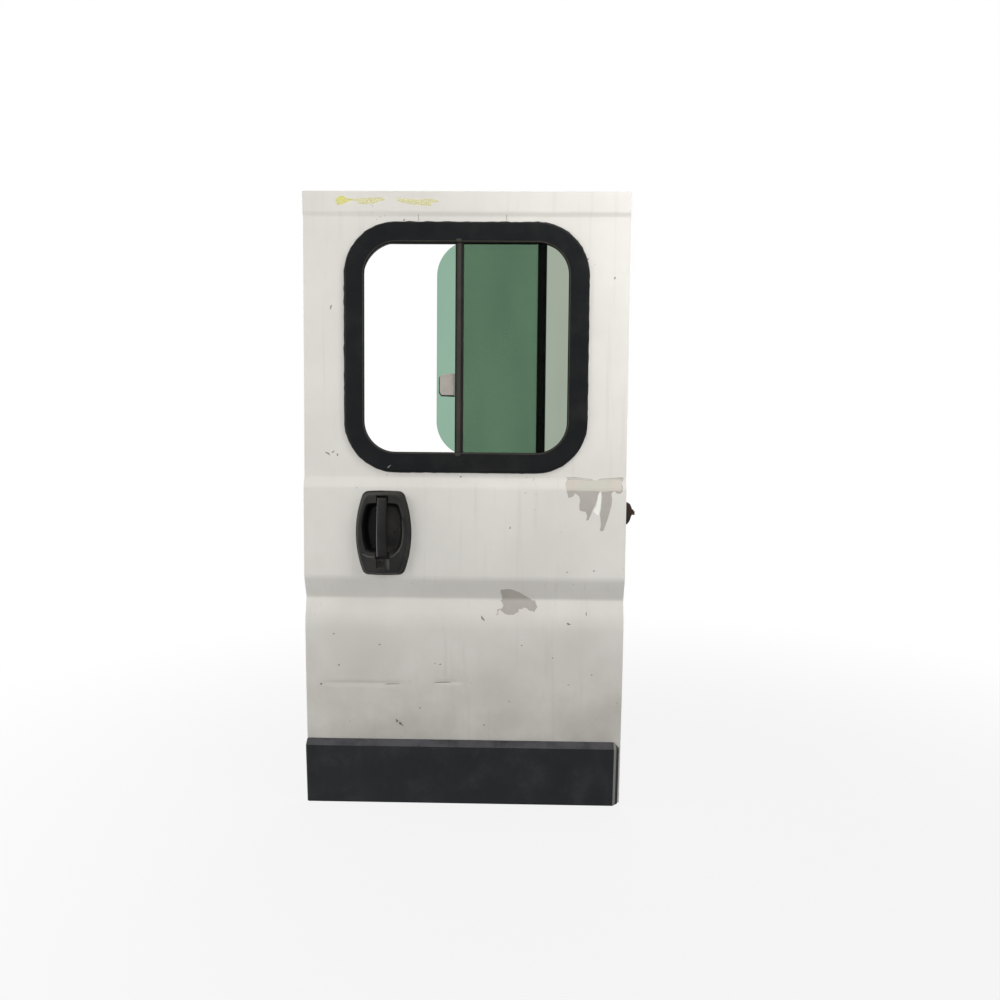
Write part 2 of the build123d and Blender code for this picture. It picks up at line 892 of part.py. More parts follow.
def make_handle_pin():
    """Pivot pin of the lever, held at both ends in the bezel."""
    reach = slot_half + pin_hold - 0.5
    return cross_pin(pin_diameter, handle_across - reach, handle_across + reach, pin_depth, pin_level)


def make_lock_barrel():
    """Key barrel on the floor of its pocket in the bezel, below the lever."""
    face = lock_floor - barrel_proud
    outline = Pos(barrel_across, barrel_level) * Circle(barrel_diameter / 2)
    barrel = plate(outline, face, seat_depth + barrel_tail)
    key = Pos(barrel_across, barrel_level) * SlotOverall(key_slot_length, key_slot_width, rotation=90)
    return barrel - plate(key, face - 1, face + key_slot_depth)


def end_chamfers(strip, left, right, back):
    """Cut the front corners at both ends of a cladding strip, wider at the hinge end."""
    for place, size in ((right, cladding_hinge_chamfer), (left, cladding_closing_chamfer)):
        edges = [
            edge
            for edge in strip.edges()
            if abs(edge.center().X - place) < 0.01
            and edge.center().Y < back - size
            and abs(edge.tangent_at(0.5).Z) > 0.3
        ]
        strip = chamfer(edges, size)
    return strip


def make_lower_cladding():
    """Moulded strip along the foot of the door, hollow behind and open to the skin."""
    left = skin_left - cladding_closing_past
    right = skin_right - cladding_hinge_short
    lip_depth = sill_depth + (tuck_depth - sill_depth) * cladding_top / tuck_level - cladding_lip
    back = sill_depth + hem_back
    corners = [
        (back, -cladding_drop),
        (cladding_foot_depth, -cladding_drop),
        (cladding_front_depth, cladding_top - cladding_slope),
        (lip_depth, cladding_top),
        (back, cladding_top),
    ]
    outline = make_face(Polyline(*corners, close=True))
    strip = end_chamfers(side_shape(outline, left, right), left, right, back)
    hollow = offset(outline, -cladding_wall)
    hollow_left = left + cladding_wall
    hollow_right = right - cladding_wall
    inside = side_shape(hollow, hollow_left, hollow_right)
    strip -= end_chamfers(inside, hollow_left, hollow_right, back - cladding_wall)
    skin_space = behind_skin(-lap_gap, far, 0, door_height, left - 1, right + 1)
    strip -= Pos(0, 0, -lap_gap) * skin_space
    return strip


latch_left = box_left + inner_sheet + lap_gap
latch_back = lap_front - lap_gap


def make_latch_case():
    """Latch case on the closing edge, at the height of the handle."""
    low = latch_level - latch_height / 2
    case = block(latch_left, latch_left + latch_width, latch_front, latch_back, low, low + latch_height)
    bolt_half = latch_bolt_height / 2 + latch_fit
    half_depth = latch_bolt_depth / 2 + latch_fit
    case -= block(
        latch_left - 1,
        latch_left + latch_bolt_inside,
        latch_depth - half_depth,
        latch_depth + half_depth,
        latch_level - bolt_half,
        latch_level + bolt_half,
    )
    return case


def make_latch_bolt():
    """Bevelled bolt that holds the closing edge."""
    left = box_left - latch_bolt_throw
    right = latch_left + latch_bolt_inside - latch_fit
    low = latch_level - latch_bolt_height / 2
    front = latch_depth - latch_bolt_depth / 2
    bolt = block(left, right, front, front + latch_bolt_depth, low, low + latch_bolt_height)
    tip = bolt.edges().filter_by(Axis.Z).sort_by(Axis.X)[:2].sort_by(Axis.Y)[-1]
    return chamfer(tip, latch_bolt_throw - latch_fit - 1, latch_bolt_depth - 3)


def make_latch_rods():
    """Rods from the latch to the upper and lower end bolts."""
    upper_end = box_top - end_bolt_length + end_bolt_throw
    lower_end = box_bottom + end_bolt_length - end_bolt_throw
    upper = upright(
        rod_diameter, rod_across, rod_depth, latch_level + latch_height / 2 + lap_gap, upper_end - lap_gap
    )
    lower = upright(
        rod_diameter, rod_across, rod_depth, lower_end + lap_gap, latch_level - latch_height / 2 - lap_gap
    )
    return Compound(children=[upper, lower])


def make_end_bolts():
    """Round bolts that hold the top and foot of the closing edge."""
    upper_tip = box_top + end_bolt_throw
    lower_tip = box_bottom - end_bolt_throw
    upper = upright(end_bolt_diameter, rod_across, rod_depth, upper_tip - end_bolt_length, upper_tip)
    upper = chamfer(upper.edges().sort_by(Axis.Z)[-1], end_bolt_bevel)
    lower = upright(end_bolt_diameter, rod_across, rod_depth, lower_tip, lower_tip + end_bolt_length)
    lower = chamfer(lower.edges().sort_by(Axis.Z)[0], end_bolt_bevel)
    return Compound(children=[upper, lower])


def make_bolt_guides():
    """Blocks that guide the end bolts behind the top and foot of the door box."""
    guides = []
    half = guide_width / 2
    starts = [
        box_top - inner_sheet - lap_gap - guide_height,
        box_bottom + inner_sheet + lap_gap,
    ]
    for low in starts:
        guide = block(
            rod_across - half + 1,
            rod_across + half,
            rod_depth - guide_depth / 2,
            rod_depth + guide_depth / 2,
            low,
            low + guide_height,
        )
        guide -= upright(end_bolt_diameter + 2 * latch_fit, rod_across, rod_depth, low - 1, low + guide_height + 1)
        guides.append(guide)
    return Compound(children=guides)


check_box_right = box_right - inner_sheet - lap_gap
check_box_left = check_box_right - check_box_length


def make_check_box():
    """Friction housing of the door check behind the hinge edge."""
    body = block(
        check_box_left,
        check_box_right,
        check_depth - check_box_depth / 2,
        check_depth + check_box_depth / 2,
        check_level - check_box_height / 2,
        check_level + check_box_height / 2,
    )
    half_depth = strap_thick / 2 + strap_fit
    half_height = strap_height / 2 + strap_fit
    body -= block(
        check_box_left - 1,
        check_box_right + 1,
        check_depth - half_depth,
        check_depth + half_depth,
        check_level - half_height,
        check_level + half_height,
    )
    return body


def make_check_strap():
    """Steel strap of the door check with a stop at its inner end."""
    front = check_depth - strap_thick / 2
    back = check_depth + strap_thick / 2
    half = strap_height / 2
    end = skin_right + strap_past_edge
    neck = skin_right
    strap = block(-strap_inside, neck, front, back, check_level - half, check_level + half)
    stop = strap_stop_height / 2
    strap += block(
        -strap_inside, -strap_inside + strap_stop_length, front, back, check_level - stop, check_level + stop
    )
    tip = strap_tip_height / 2
    strap += block(neck, end, front, back, check_level - tip, check_level + tip)
    return strap


def make_check_buffer():
    """Half-moon rubber buffer on the outer end of the check strap."""
    middle = skin_right + buffer_past_edge - buffer_radius
    outline = Pos(middle, check_level) * Circle(buffer_radius)
    body = plate(outline, check_depth - buffer_thick / 2, check_depth + buffer_thick / 2)
    body &= block(middle, far, -far, far, 0, far)
    half_depth = strap_thick / 2 + buffer_fit
    half = strap_height / 2 + buffer_fit
    tip = strap_tip_height / 2 + buffer_fit
    body -= block(
        -far,
        skin_right + buffer_fit,
        check_depth - half_depth,
        check_depth + half_depth,
        check_level - half,
        check_level + half,
    )
    body -= block(
        -far, far, check_depth - half_depth, check_depth + half_depth, check_level - tip, check_level + tip
    )
    return body


def make_blanking_plugs():
    """Rubber plugs in the two round holes of the lower inner panel."""
    plugs = []
    for side in (-1, 1):
        place = Pos(box_middle + side * plug_spacing / 2, plug_level)
        head = plate(place * Circle(plug_flange / 2), door_depth + lap_gap, door_depth + lap_gap + plug_thick)
        stem = plate(place * Circle(plug_hole / 2 - lap_gap), inner_face - plug_thick, door_depth + lap_gap)
        plugs.append(head + stem)
    return Compound(children=plugs)


def make_release_cup():
    """Moulded surround of the inner release."""
    place = Pos(box_left + release_offset, release_level)
    front = door_depth + lap_gap
    body = plate(place * RectangleRounded(release_width, release_height, release_corner), front, front + release_thick)
    recess = place * RectangleRounded(
        release_width - 2 * release_corner, release_height - release_corner, release_corner / 2
    )
    return body - plate(recess, front + release_thick - release_cup, far)


def make_release_paddle():
    """Finger paddle of the inner release, closed in its surround."""
    place = Pos(box_left + release_offset, release_level)
    front = door_depth + lap_gap + release_thick - release_cup + lap_gap
    outline = place * RectangleRounded(paddle_width, paddle_height, release_corner / 2)
    return plate(outline, front, front + paddle_thick)


pieces = {
    "outer_skin": make_outer_skin(),
    "inner_panel_lower": make_inner_panel_lower(),
    "inner_panel_waist": make_inner_panel_waist(),
    "inner_panel_upper": make_inner_panel_upper(),
    "window_collar": make_window_collar(),
    "closing_channel": make_closing_channel(),
    "hinge_channel": make_hinge_channel(),
    "head_channel": make_head_channel(),
    "sill_channel": make_sill_channel(),
    "skin_stiffener": make_skin_stiffener(),
    "hinge_plate_lower": make_hinge_plate(hinge_levels[0]),
    "hinge_plate_upper": make_hinge_plate(hinge_levels[1]),
    "window_frame": make_window_frame(),
    "window_clamp_ring": make_window_clamp_ring(),
    "fixed_glass": make_fixed_glass(),
    "glass_gasket": make_glass_gasket(),
    "mullion": make_mullion(),
    "sliding_glass": make_sliding_glass(),
    "sliding_glass_bar": make_sliding_glass_bar(),
    "slide_track_top": make_slide_track(window_top, 1, track_drop),
    "slide_track_bottom": make_slide_track(window_bottom, -1, gasket_nib),
    "window_latch": make_window_latch(),
    "window_latch_grip": make_window_latch_grip(),
    "handle_bezel": make_handle_bezel(),
    "handle_lever": make_handle_lever(),
    "handle_pin": make_handle_pin(),
    "lock_barrel": make_lock_barrel(),
    "lower_cladding": make_lower_cladding(),
    "latch_case": make_latch_case(),
    "latch_bolt": make_latch_bolt(),
    "latch_rods": make_latch_rods(),
    "end_bolts": make_end_bolts(),
    "bolt_guides": make_bolt_guides(),
    "check_box": make_check_box(),
    "check_strap": make_check_strap(),
    "check_buffer": make_check_buffer(),
    "blanking_plugs": make_blanking_plugs(),
    "release_cup": make_release_cup(),
    "release_paddle": make_release_paddle(),
}

os.makedirs("parts", exist_ok=True)
for name, piece in pieces.items():
    export_step(to_seat * piece, f"parts/{name}.step")
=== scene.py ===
import math

import bmesh
import bpy
from mathutils import Matrix, Vector


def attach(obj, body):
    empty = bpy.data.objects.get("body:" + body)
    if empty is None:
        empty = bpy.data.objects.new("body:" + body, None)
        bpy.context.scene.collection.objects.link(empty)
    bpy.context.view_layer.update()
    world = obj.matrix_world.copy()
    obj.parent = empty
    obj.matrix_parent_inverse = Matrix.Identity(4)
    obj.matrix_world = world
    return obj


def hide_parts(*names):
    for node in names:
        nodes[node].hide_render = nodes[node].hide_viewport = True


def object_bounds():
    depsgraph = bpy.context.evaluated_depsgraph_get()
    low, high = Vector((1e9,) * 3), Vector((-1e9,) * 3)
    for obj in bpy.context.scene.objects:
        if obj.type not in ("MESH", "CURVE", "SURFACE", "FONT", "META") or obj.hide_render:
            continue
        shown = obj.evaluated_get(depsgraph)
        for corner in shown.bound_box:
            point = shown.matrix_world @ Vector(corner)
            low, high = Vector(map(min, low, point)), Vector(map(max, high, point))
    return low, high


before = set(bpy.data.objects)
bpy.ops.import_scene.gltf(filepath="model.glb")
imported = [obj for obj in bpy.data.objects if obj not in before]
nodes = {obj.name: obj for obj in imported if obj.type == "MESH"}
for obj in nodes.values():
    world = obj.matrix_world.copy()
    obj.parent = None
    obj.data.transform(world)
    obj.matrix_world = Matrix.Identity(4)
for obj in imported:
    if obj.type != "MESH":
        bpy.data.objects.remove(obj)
solid_low, solid_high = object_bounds()

# Door drawing in millimetres: across from the hinge seat, depth behind the window plane, height above the skin's foot
SEAT_DEPTH = 30.0
SEAT_HEIGHT = 260.0
SKIN_LEFT = -780.3
SKIN_RIGHT = 14.7
SKIN_TOP = 1517.0
SKIN_SHEET = 1.0
HEM_DEPTH = 3.6
HEM_WIDTH = 11.0
WINDOW_MIDDLE = -381.8
WINDOW_LEVEL = 1142.5
WINDOW_WIDTH = 504.0
WINDOW_HEIGHT = 513.0
WINDOW_CORNER = 80.0
APERTURE = 15.0
HANDLE_ACROSS = -582.3
HANDLE_LEVEL = 689.0

# Side view of the skin: depth, height and bend radius from foot to head
SKIN_PROFILE = [
    (24.0, 0.0, 0.0),
    (4.0, 307.0, 3000.0),
    (-2.0, 468.0, 150.0),
    (12.0, 524.0, 12.0),
    (-9.0, 577.0, 40.0),
    (-9.0, 802.0, 22.0),
    (0.0, 827.0, 22.0),
    (0.0, 1458.5, 12.0),
    (-5.0, 1469.0, 12.0),
    (-5.0, SKIN_TOP, 0.0),
]


def spot(across, depth, height):
    """Place in the row frame, in metres, of a point of the door drawing."""
    return Vector((across, depth - SEAT_DEPTH, height - SEAT_HEIGHT)) / 1000


def colour(red, green, blue):
    """Linear colour of a shade written as screen values from 0 to 255."""
    tones = []
    for value in (red, green, blue):
        share = value / 255
        tones.append(share / 12.92 if share <= 0.04045 else ((share + 0.055) / 1.055) ** 2.4)
    return (*tones, 1.0)


def skin_depth(height):
    """Depth of the skin's outer surface at a height, bends left sharp."""
    for (low_depth, low, _), (high_depth, high, _) in zip(SKIN_PROFILE, SKIN_PROFILE[1:]):
        if height <= high:
            return low_depth + (high_depth - low_depth) * (height - low) / (high - low)
    return SKIN_PROFILE[-1][0]


# Modelling by hand


def put_down():
    """Leave edit mode and deselect everything."""
    if bpy.context.object and bpy.context.object.mode != "OBJECT":
        bpy.ops.object.mode_set(mode="OBJECT")
    bpy.ops.object.select_all(action="DESELECT")


def take_up(piece):
    """Make a piece the only selected and the active one."""
    put_down()
    piece.select_set(True)
    bpy.context.view_layer.objects.active = piece
    return piece


def reopen(piece):
    """Open a finished piece in edit mode again."""
    take_up(piece)
    bpy.ops.object.mode_set(mode="EDIT")


def open_piece(name):
    """Name the primitive just added, apply its place and open it in edit mode."""
    piece = bpy.context.object
    piece.name = name
    piece.data.name = name
    bpy.ops.object.transform_apply(location=True, rotation=True, scale=True)
    bpy.ops.object.mode_set(mode="EDIT")
    bpy.ops.mesh.select_all(action="DESELECT")
    return piece


def block(name, left, right, front, back, bottom, top):
    """Block between two places across, two depths and two heights, open in edit mode."""
    put_down()
    low = spot(left, front, bottom)
    high = spot(right, back, top)
    bpy.ops.mesh.primitive_cube_add(size=1, location=(low + high) / 2)
    bpy.context.object.scale = high - low
    return open_piece(name)


def sheet(name, left, right, depth, bottom, top):
    """Upright sheet that faces outwards, open in edit mode."""
    put_down()
    low = spot(left, depth, bottom)
    high = spot(right, depth, top)
    turn = (math.pi / 2, 0, 0)
    bpy.ops.mesh.primitive_plane_add(size=1, location=(low + high) / 2, rotation=turn)
    bpy.context.object.scale = (high.x - low.x, high.z - low.z, 1)
    return open_piece(name)


def round_bar(name, radius, near, far, sides=32):
    """Round bar between two points of the row frame, open in edit mode."""
    put_down()
    along = far - near
    turn = along.to_track_quat("Z", "Y").to_euler()
    bpy.ops.mesh.primitive_cylinder_add(
        vertices=sides, radius=radius / 1000, depth=along.length, location=(near + far) / 2, rotation=turn
    )
    return open_piece(name)


def middle(part):
    """Middle of a vertex, edge or face."""
    if hasattr(part, "co"):
        return part.co
    points = [corner.co for corner in part.verts]
    return sum(points, Vector()) / len(points)


def run(edge):
    """Direction of an edge."""
    return (edge.verts[1].co - edge.verts[0].co).normalized()


def pick(kind, test):
    """Select the vertices, edges or faces of the open piece that pass a test; the number picked."""
    mode = {"verts": "VERT", "edges": "EDGE", "faces": "FACE"}[kind]
    bpy.ops.mesh.select_mode(type=mode)
    bpy.ops.mesh.select_all(action="DESELECT")
    data = bpy.context.object.data
    mesh = bmesh.from_edit_mesh(data)
    count = 0
    for part in getattr(mesh, kind):
        if test(part):
            part.select_set(True)
            count += 1
    mesh.select_flush_mode()
    bmesh.update_edit_mesh(data)
    return count


def slice_through(place, normal):
    """Cut the whole open piece along a plane."""
    bpy.ops.mesh.select_all(action="SELECT")
    bpy.ops.mesh.bisect(plane_co=place, plane_no=normal)
    bpy.ops.mesh.select_all(action="DESELECT")


def round_picked(offset, segments):
    """Round the picked edges of the open piece."""
    bpy.ops.mesh.bevel(offset=offset, segments=segments, affect="EDGES")


def modify(piece, kind, **values):
    """Add a modifier with these values and apply it."""
    take_up(piece)
    made = piece.modifiers.new(kind.lower(), kind)
    for name, value in values.items():
        setattr(made, name, value)
    bpy.ops.object.modifier_apply(modifier=made.name)
    return piece


def cut_away(piece, cutter):
    """Cut the cutter's shape out of a piece and throw the cutter away."""
    modify(piece, "BOOLEAN", operation="DIFFERENCE", solver="EXACT", object=cutter)
    bpy.data.objects.remove(cutter)
    return piece


def soften(piece, width, segments=3, angle=30):
    """Round every sharp edge of a piece."""
    limit = math.radians(angle)
    return modify(piece, "BEVEL", width=width / 1000, segments=segments, limit_method="ANGLE", angle_limit=limit)


def drag_outline(outline, depth_at):
    """Drag the corners of the open flat piece to an outline given across and up, and turn it to the outside."""
    data = bpy.context.object.data
    for index, (across, height) in enumerate(outline):
        pick("verts", lambda corner: corner.index == index)
        mesh = bmesh.from_edit_mesh(data)
        mesh.verts.ensure_lookup_table()
        bpy.ops.transform.translate(value=spot(across, depth_at(height), height) - mesh.verts[index].co)
    mesh = bmesh.from_edit_mesh(data)
    mesh.normal_update()
    turned = mesh.faces[:][0].normal.y > 0
    bpy.ops.mesh.select_all(action="SELECT")
    if turned:
        bpy.ops.mesh.flip_normals()


def flat_outline(name, outline, depth_at):
    """Flat piece of an outline given across and up, open in edit mode."""
    put_down()
    bpy.ops.mesh.primitive_circle_add(vertices=len(outline), fill_type="NGON", rotation=(math.pi / 2, 0, 0))
    piece = open_piece(name)
    drag_outline(outline, depth_at)
    return piece


def flat_plate(name, outline, front, thick):
    """Plate of an outline given across and up, its face at a depth."""
    piece = flat_outline(name, outline, lambda height: front)
    return modify(piece, "SOLIDIFY", thickness=thick / 1000, offset=-1.0)


def clone(piece, name, place=(0, 0, 0)):
    """Copy of a piece with its own mesh, moved by an offset in metres that goes into the mesh."""
    take_up(piece)
    bpy.ops.object.duplicate(linked=False)
    copy = bpy.context.object
    copy.name = name
    copy.data.name = name
    bpy.ops.object.mode_set(mode="EDIT")
    bpy.ops.mesh.select_all(action="SELECT")
    bpy.ops.transform.translate(value=place)
    put_down()
    return copy


def fit(piece, finish, body="door", angle=35):
    """Smooth a piece, give it its finish and let it ride on its body."""
    take_up(piece)
    bpy.ops.object.shade_smooth_by_angle(angle=math.radians(angle))
    piece.data.materials.clear()
    piece.data.materials.append(finish)
    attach(piece, body)
    put_down()
    return piece


# Building blocks of the finishes


def add(tree, kind, inputs=None, **settings):
    """Add a shader node; an input that is a socket is linked, any other value is set."""
    made = tree.nodes.new("ShaderNode" + kind)
    for name, value in settings.items():
        setattr(made, name, value)
    for name, value in (inputs or {}).items():
        if isinstance(value, bpy.types.NodeSocket):
            tree.links.new(value, made.inputs[name])
        else:
            made.inputs[name].default_value = value
    return made


def blend(tree, share, first, second, mode="MIX"):
    """Mix of two colours."""
    inputs = {0: share, 6: first, 7: second}
    return add(tree, "Mix", inputs, data_type="RGBA", blend_type=mode).outputs[2]


def span(tree, value, low, high, start=0.0, end=1.0):
    """Value spread smoothly from one range to another."""
    inputs = {"Value": value, "From Min": low, "From Max": high, "To Min": start, "To Max": end}
    return add(tree, "MapRange", inputs, interpolation_type="SMOOTHSTEP").outputs["Result"]


def maths(tree, operation, first, second):
    """Result of one sum of two values."""
    return add(tree, "Math", {0: first, 1: second}, operation=operation).outputs[0]


def times(tree, first, second):
    """Product of two values."""
    return maths(tree, "MULTIPLY", first, second)


def noise(tree, place, scale, detail=3.0, roughness=0.55):
    """Noise value at a place."""
    inputs = {"Vector": place, "Scale": scale, "Detail": detail, "Roughness": roughness}
    return add(tree, "TexNoise", inputs).outputs["Fac"]


def stretched(tree, place, scale):
    """Place stretched by three factors."""
    return add(tree, "VectorMath", {0: place, 1: scale}, operation="MULTIPLY").outputs[0]


def new_group(name, inputs, outputs):
    """Empty shader node group with named float and vector sockets."""
    tree = bpy.data.node_groups.new(name, "ShaderNodeTree")
    for label, value in inputs.items():
        kind = "NodeSocketVector" if value is None else "NodeSocketFloat"
        socket = tree.interface.new_socket(label, in_out="INPUT", socket_type=kind)
        if value is not None:
            socket.default_value = value
    for label in outputs:
        tree.interface.new_socket(label, in_out="OUTPUT", socket_type="NodeSocketFloat")
    return tree, tree.nodes.new("NodeGroupInput"), tree.nodes.new("NodeGroupOutput")


def make_moulded_grain():
    """Fine pebbled grain of moulded plastic, with a cloudy tone."""
    tree, given, out = new_group("moulded grain", {"Place": None, "Scale": 900.0}, ["Height", "Tone"])
    fine = noise(tree, given.outputs["Place"], given.outputs["Scale"], 2.0)
    inputs = {"Vector": given.outputs["Place"], "Scale": given.outputs["Scale"]}
    pebbles = add(tree, "TexVoronoi", inputs, feature="SMOOTH_F1").outputs["Distance"]
    tree.links.new(maths(tree, "ADD", fine, pebbles), out.inputs["Height"])
    broad = times(tree, given.outputs["Scale"], 0.012)
    tree.links.new(noise(tree, given.outputs["Place"], broad, 4.0), out.inputs["Tone"])
    return tree


def make_streaks():
    """Long marks that run one way: rain streaks, wipe marks or scratches."""
    inputs = {"Place": None, "Across": 60.0, "Along": 2.0, "Low": 0.52, "High": 0.75}
    tree, given, out = new_group("streaks", inputs, ["Mask"])
    scale = add(tree, "CombineXYZ", {k: given.outputs["Across"] for k in ("X", "Y")})
    tree.links.new(given.outputs["Along"], scale.inputs["Z"])
    value = noise(tree, stretched(tree, given.outputs["Place"], scale.outputs[0]), 1.0, 4.0, 0.6)
    tree.links.new(span(tree, value, given.outputs["Low"], given.outputs["High"]), out.inputs["Mask"])
    return tree


def make_dust():
    """Dust that settles on faces that look up and gathers in cloudy patches."""
    inputs = {"Place": None, "Patch": 14.0, "Settled": 0.7, "Film": 0.25}
    tree, given, out = new_group("settled dust", inputs, ["Mask"])
    normal = add(tree, "NewGeometry").outputs["Normal"]
    upward = span(tree, add(tree, "SeparateXYZ", {0: normal}).outputs["Z"], 0.15, 0.95)
    cloud = noise(tree, given.outputs["Place"], given.outputs["Patch"], 5.0, 0.65)
    settled = times(tree, upward, given.outputs["Settled"])
    film = times(tree, span(tree, cloud, 0.45, 0.75), given.outputs["Film"])
    both = maths(tree, "MAXIMUM", times(tree, settled, span(tree, cloud, 0.2, 0.6)), film)
    tree.links.new(both, out.inputs["Mask"])
    return tree


def make_specks():
    """Sparse small specks, each with a ragged edge."""
    inputs = {"Place": None, "Scale": 60.0, "Size": 0.12, "Rarity": 0.62}
    tree, given, out = new_group("specks", inputs, ["Mask"])
    ragged = add(tree, "TexNoise", {"Vector": given.outputs["Place"], "Scale": 420.0, "Detail": 2.0})
    moved = add(tree, "VectorMath", {0: ragged.outputs["Color"], 1: (0.006, 0.006, 0.006)}, operation="MULTIPLY")
    place = add(tree, "VectorMath", {0: given.outputs["Place"], 1: moved.outputs[0]}, operation="ADD").outputs[0]
    dots = add(tree, "TexVoronoi", {"Vector": place, "Scale": given.outputs["Scale"]})
    near = maths(tree, "LESS_THAN", dots.outputs["Distance"], given.outputs["Size"])
    pattern = noise(tree, given.outputs["Place"], 7.0, 3.0, 0.6)
    rare = maths(tree, "GREATER_THAN", pattern, given.outputs["Rarity"])
    tree.links.new(times(tree, near, rare), out.inputs["Mask"])
    return tree


GRAIN = make_moulded_grain()
STREAKS = make_streaks()
DUST = make_dust()
SPECKS = make_specks()


def use(tree, group, place, **values):
    """Place a node group in a material with its own values."""
    made = tree.nodes.new("ShaderNodeGroup")
    made.node_tree = group
    tree.links.new(place, made.inputs["Place"])
    for name, value in values.items():
        made.inputs[name].default_value = value
    return made.outputs


def new_finish(name, **constants):
    """Material with a Principled shader; constants are set on the shader's own sockets."""
    finish = bpy.data.materials.new(name)
    finish.use_nodes = True
    tree = finish.node_tree
    shader = tree.nodes["Principled BSDF"]
    for label, value in constants.items():
        shader.inputs[label.replace("_", " ")].default_value = value
    place = tree.nodes.new("ShaderNodeTexCoord").outputs["Object"]
    return finish, tree, shader, place


def bump(tree, shader, height, distance, strength=1.0):
    """Let a height raise the surface by a distance in metres."""
    made = add(tree, "Bump", {"Height": height, "Strength": strength, "Distance": distance})
    tree.links.new(made.outputs["Normal"], shader.inputs["Normal"])


def make_paint(name, light, dark, grime_and_shade, darkening_top, roughness, patch=4.0):
    """Old body paint: cloudy tone, rain streaks, a patchy painted shade low down, specks and orange peel."""
    light, dark, grime_and_shade = (colour(*shade) for shade in (light, dark, grime_and_shade))
    finish, tree, shader, place = new_finish(name, Coat_Roughness=0.2, IOR=1.5)
    cloud = span(tree, noise(tree, place, patch, 5.0, 0.6), 0.3, 0.7)
    base = blend(tree, cloud, light, dark)
    rain = use(tree, STREAKS, place, Across=55.0, Along=2.2, Low=0.54, High=0.8)["Mask"]
    base = blend(tree, times(tree, rain, 0.16), base, grime_and_shade)
    height = add(tree, "SeparateXYZ", {0: place}).outputs["Z"]
    # Painted shade: below darkening_top the paint darkens in patches towards the foot, standing in for the weaker
    # light on the lower panel.
    low = span(tree, height, darkening_top, -0.26)
    low_shade = times(tree, low, span(tree, noise(tree, place, 9.0, 4.0, 0.55), 0.0, 0.85))
    base = blend(tree, times(tree, low_shade, 0.72), base, grime_and_shade)
    speck = use(tree, SPECKS, place, Scale=46.0, Size=0.09, Rarity=0.6)["Mask"]
    base = blend(tree, times(tree, speck, 0.35), base, colour(120, 114, 104))
    tree.links.new(base, shader.inputs["Base Color"])
    dull = times(tree, maths(tree, "ADD", cloud, low_shade), 0.1)
    tree.links.new(maths(tree, "ADD", dull, roughness), shader.inputs["Roughness"])
    tree.links.new(span(tree, cloud, 0.0, 1.0, 0.3, 0.12), shader.inputs["Coat Weight"])
    bump(tree, shader, noise(tree, place, 420.0, 2.0), 0.00004)
    return finish


DUST_TONE = colour(128, 124, 116)


def make_plastic(
    name, base, worn, grain, depth, roughness, dust=0.35, film=0.2, shine=0.25,
    pale_strip=None, painted_shade=None, powder=DUST_TONE,
):
    """Moulded plastic, rubber or trim with grain, wear and dust; pale between two places across, on the lever a
    painted highlight; near black beyond a place and a depth, a painted shade in the handle's bowl.
    """
    base, worn = colour(*base), colour(*worn)
    finish, tree, shader, place = new_finish(name, IOR=1.48, Specular_IOR_Level=shine)
    mould = use(tree, GRAIN, place, Scale=grain)
    tone = blend(tree, span(tree, mould["Tone"], 0.35, 0.7), base, worn)
    scrape = use(tree, STREAKS, place, Across=4.0, Along=130.0, Low=0.62, High=0.8)["Mask"]
    tone = blend(tree, times(tree, scrape, 0.3), tone, worn)
    settled = use(tree, DUST, place, Patch=16.0, Settled=dust, Film=film)["Mask"]
    tone = blend(tree, times(tree, settled, 0.45), tone, powder)
    # Painted shade: left of a place across and deeper than a depth, the colour turns near black, as the bowl's left
    # wall shades its floor.
    if painted_shade:
        parts = add(tree, "SeparateXYZ", {0: place}).outputs
        beyond = span(tree, parts["X"], painted_shade[0] + 0.01, painted_shade[0])
        shaded = times(tree, beyond, span(tree, parts["Y"], painted_shade[1] - 0.008, painted_shade[1]))
        tone = blend(tree, times(tree, shaded, 0.92), tone, colour(3, 3, 3))
    # A pale strip between two places across; on the lever it is a painted highlight on the left chamfer.
    if pale_strip:
        across = add(tree, "SeparateXYZ", {0: place}).outputs["X"]
        inside = span(tree, across, pale_strip[0] - 0.001, pale_strip[0])
        strip = times(tree, inside, span(tree, across, pale_strip[1] + 0.001, pale_strip[1]))
        tone = blend(tree, times(tree, strip, 0.8), tone, pale_strip[2])
    tree.links.new(tone, shader.inputs["Base Color"])
    rough = maths(tree, "ADD", times(tree, mould["Tone"], 0.2), roughness)
    tree.links.new(maths(tree, "ADD", rough, times(tree, settled, 0.2)), shader.inputs["Roughness"])
    bump(tree, shader, mould["Height"], depth)
    return finish


def make_glass(name, clear, smeared):
    """Tinted safety glass, a little darker where dust and wiping have left a film."""
    finish, tree, shader, place = new_finish(name, Transmission_Weight=1.0, IOR=1.12, Roughness=0.0)
    film = use(tree, STREAKS, place, Across=7.0, Along=2.0, Low=0.35, High=0.8)["Mask"]
    tree.links.new(blend(tree, film, clear, smeared), shader.inputs["Base Color"])
    return finish


def make_metal(name, base, tarnish, roughness, share=0.5):
    """Plated steel with cloudy tarnish; the lock's copy is near black throughout as painted shade."""
    base, tarnish = colour(*base), colour(*tarnish)
    finish, tree, shader, place = new_finish(name, IOR=2.0)
    cloud = span(tree, noise(tree, place, 60.0, 5.0, 0.65), 0.35, 0.75)
    spots = use(tree, SPECKS, place, Scale=240.0, Size=0.2, Rarity=0.5)["Mask"]
    mask = maths(tree, "MAXIMUM", times(tree, cloud, share), times(tree, spots, share))
    tree.links.new(blend(tree, mask, base, tarnish), shader.inputs["Base Color"])
    tree.links.new(span(tree, mask, 0.0, 1.0, 0.95, 0.2), shader.inputs["Metallic"])
    tree.links.new(span(tree, mask, 0.0, 1.0, roughness, roughness + 0.35), shader.inputs["Roughness"])
    bump(tree, shader, noise(tree, place, 300.0, 3.0), 0.00005)
    return finish
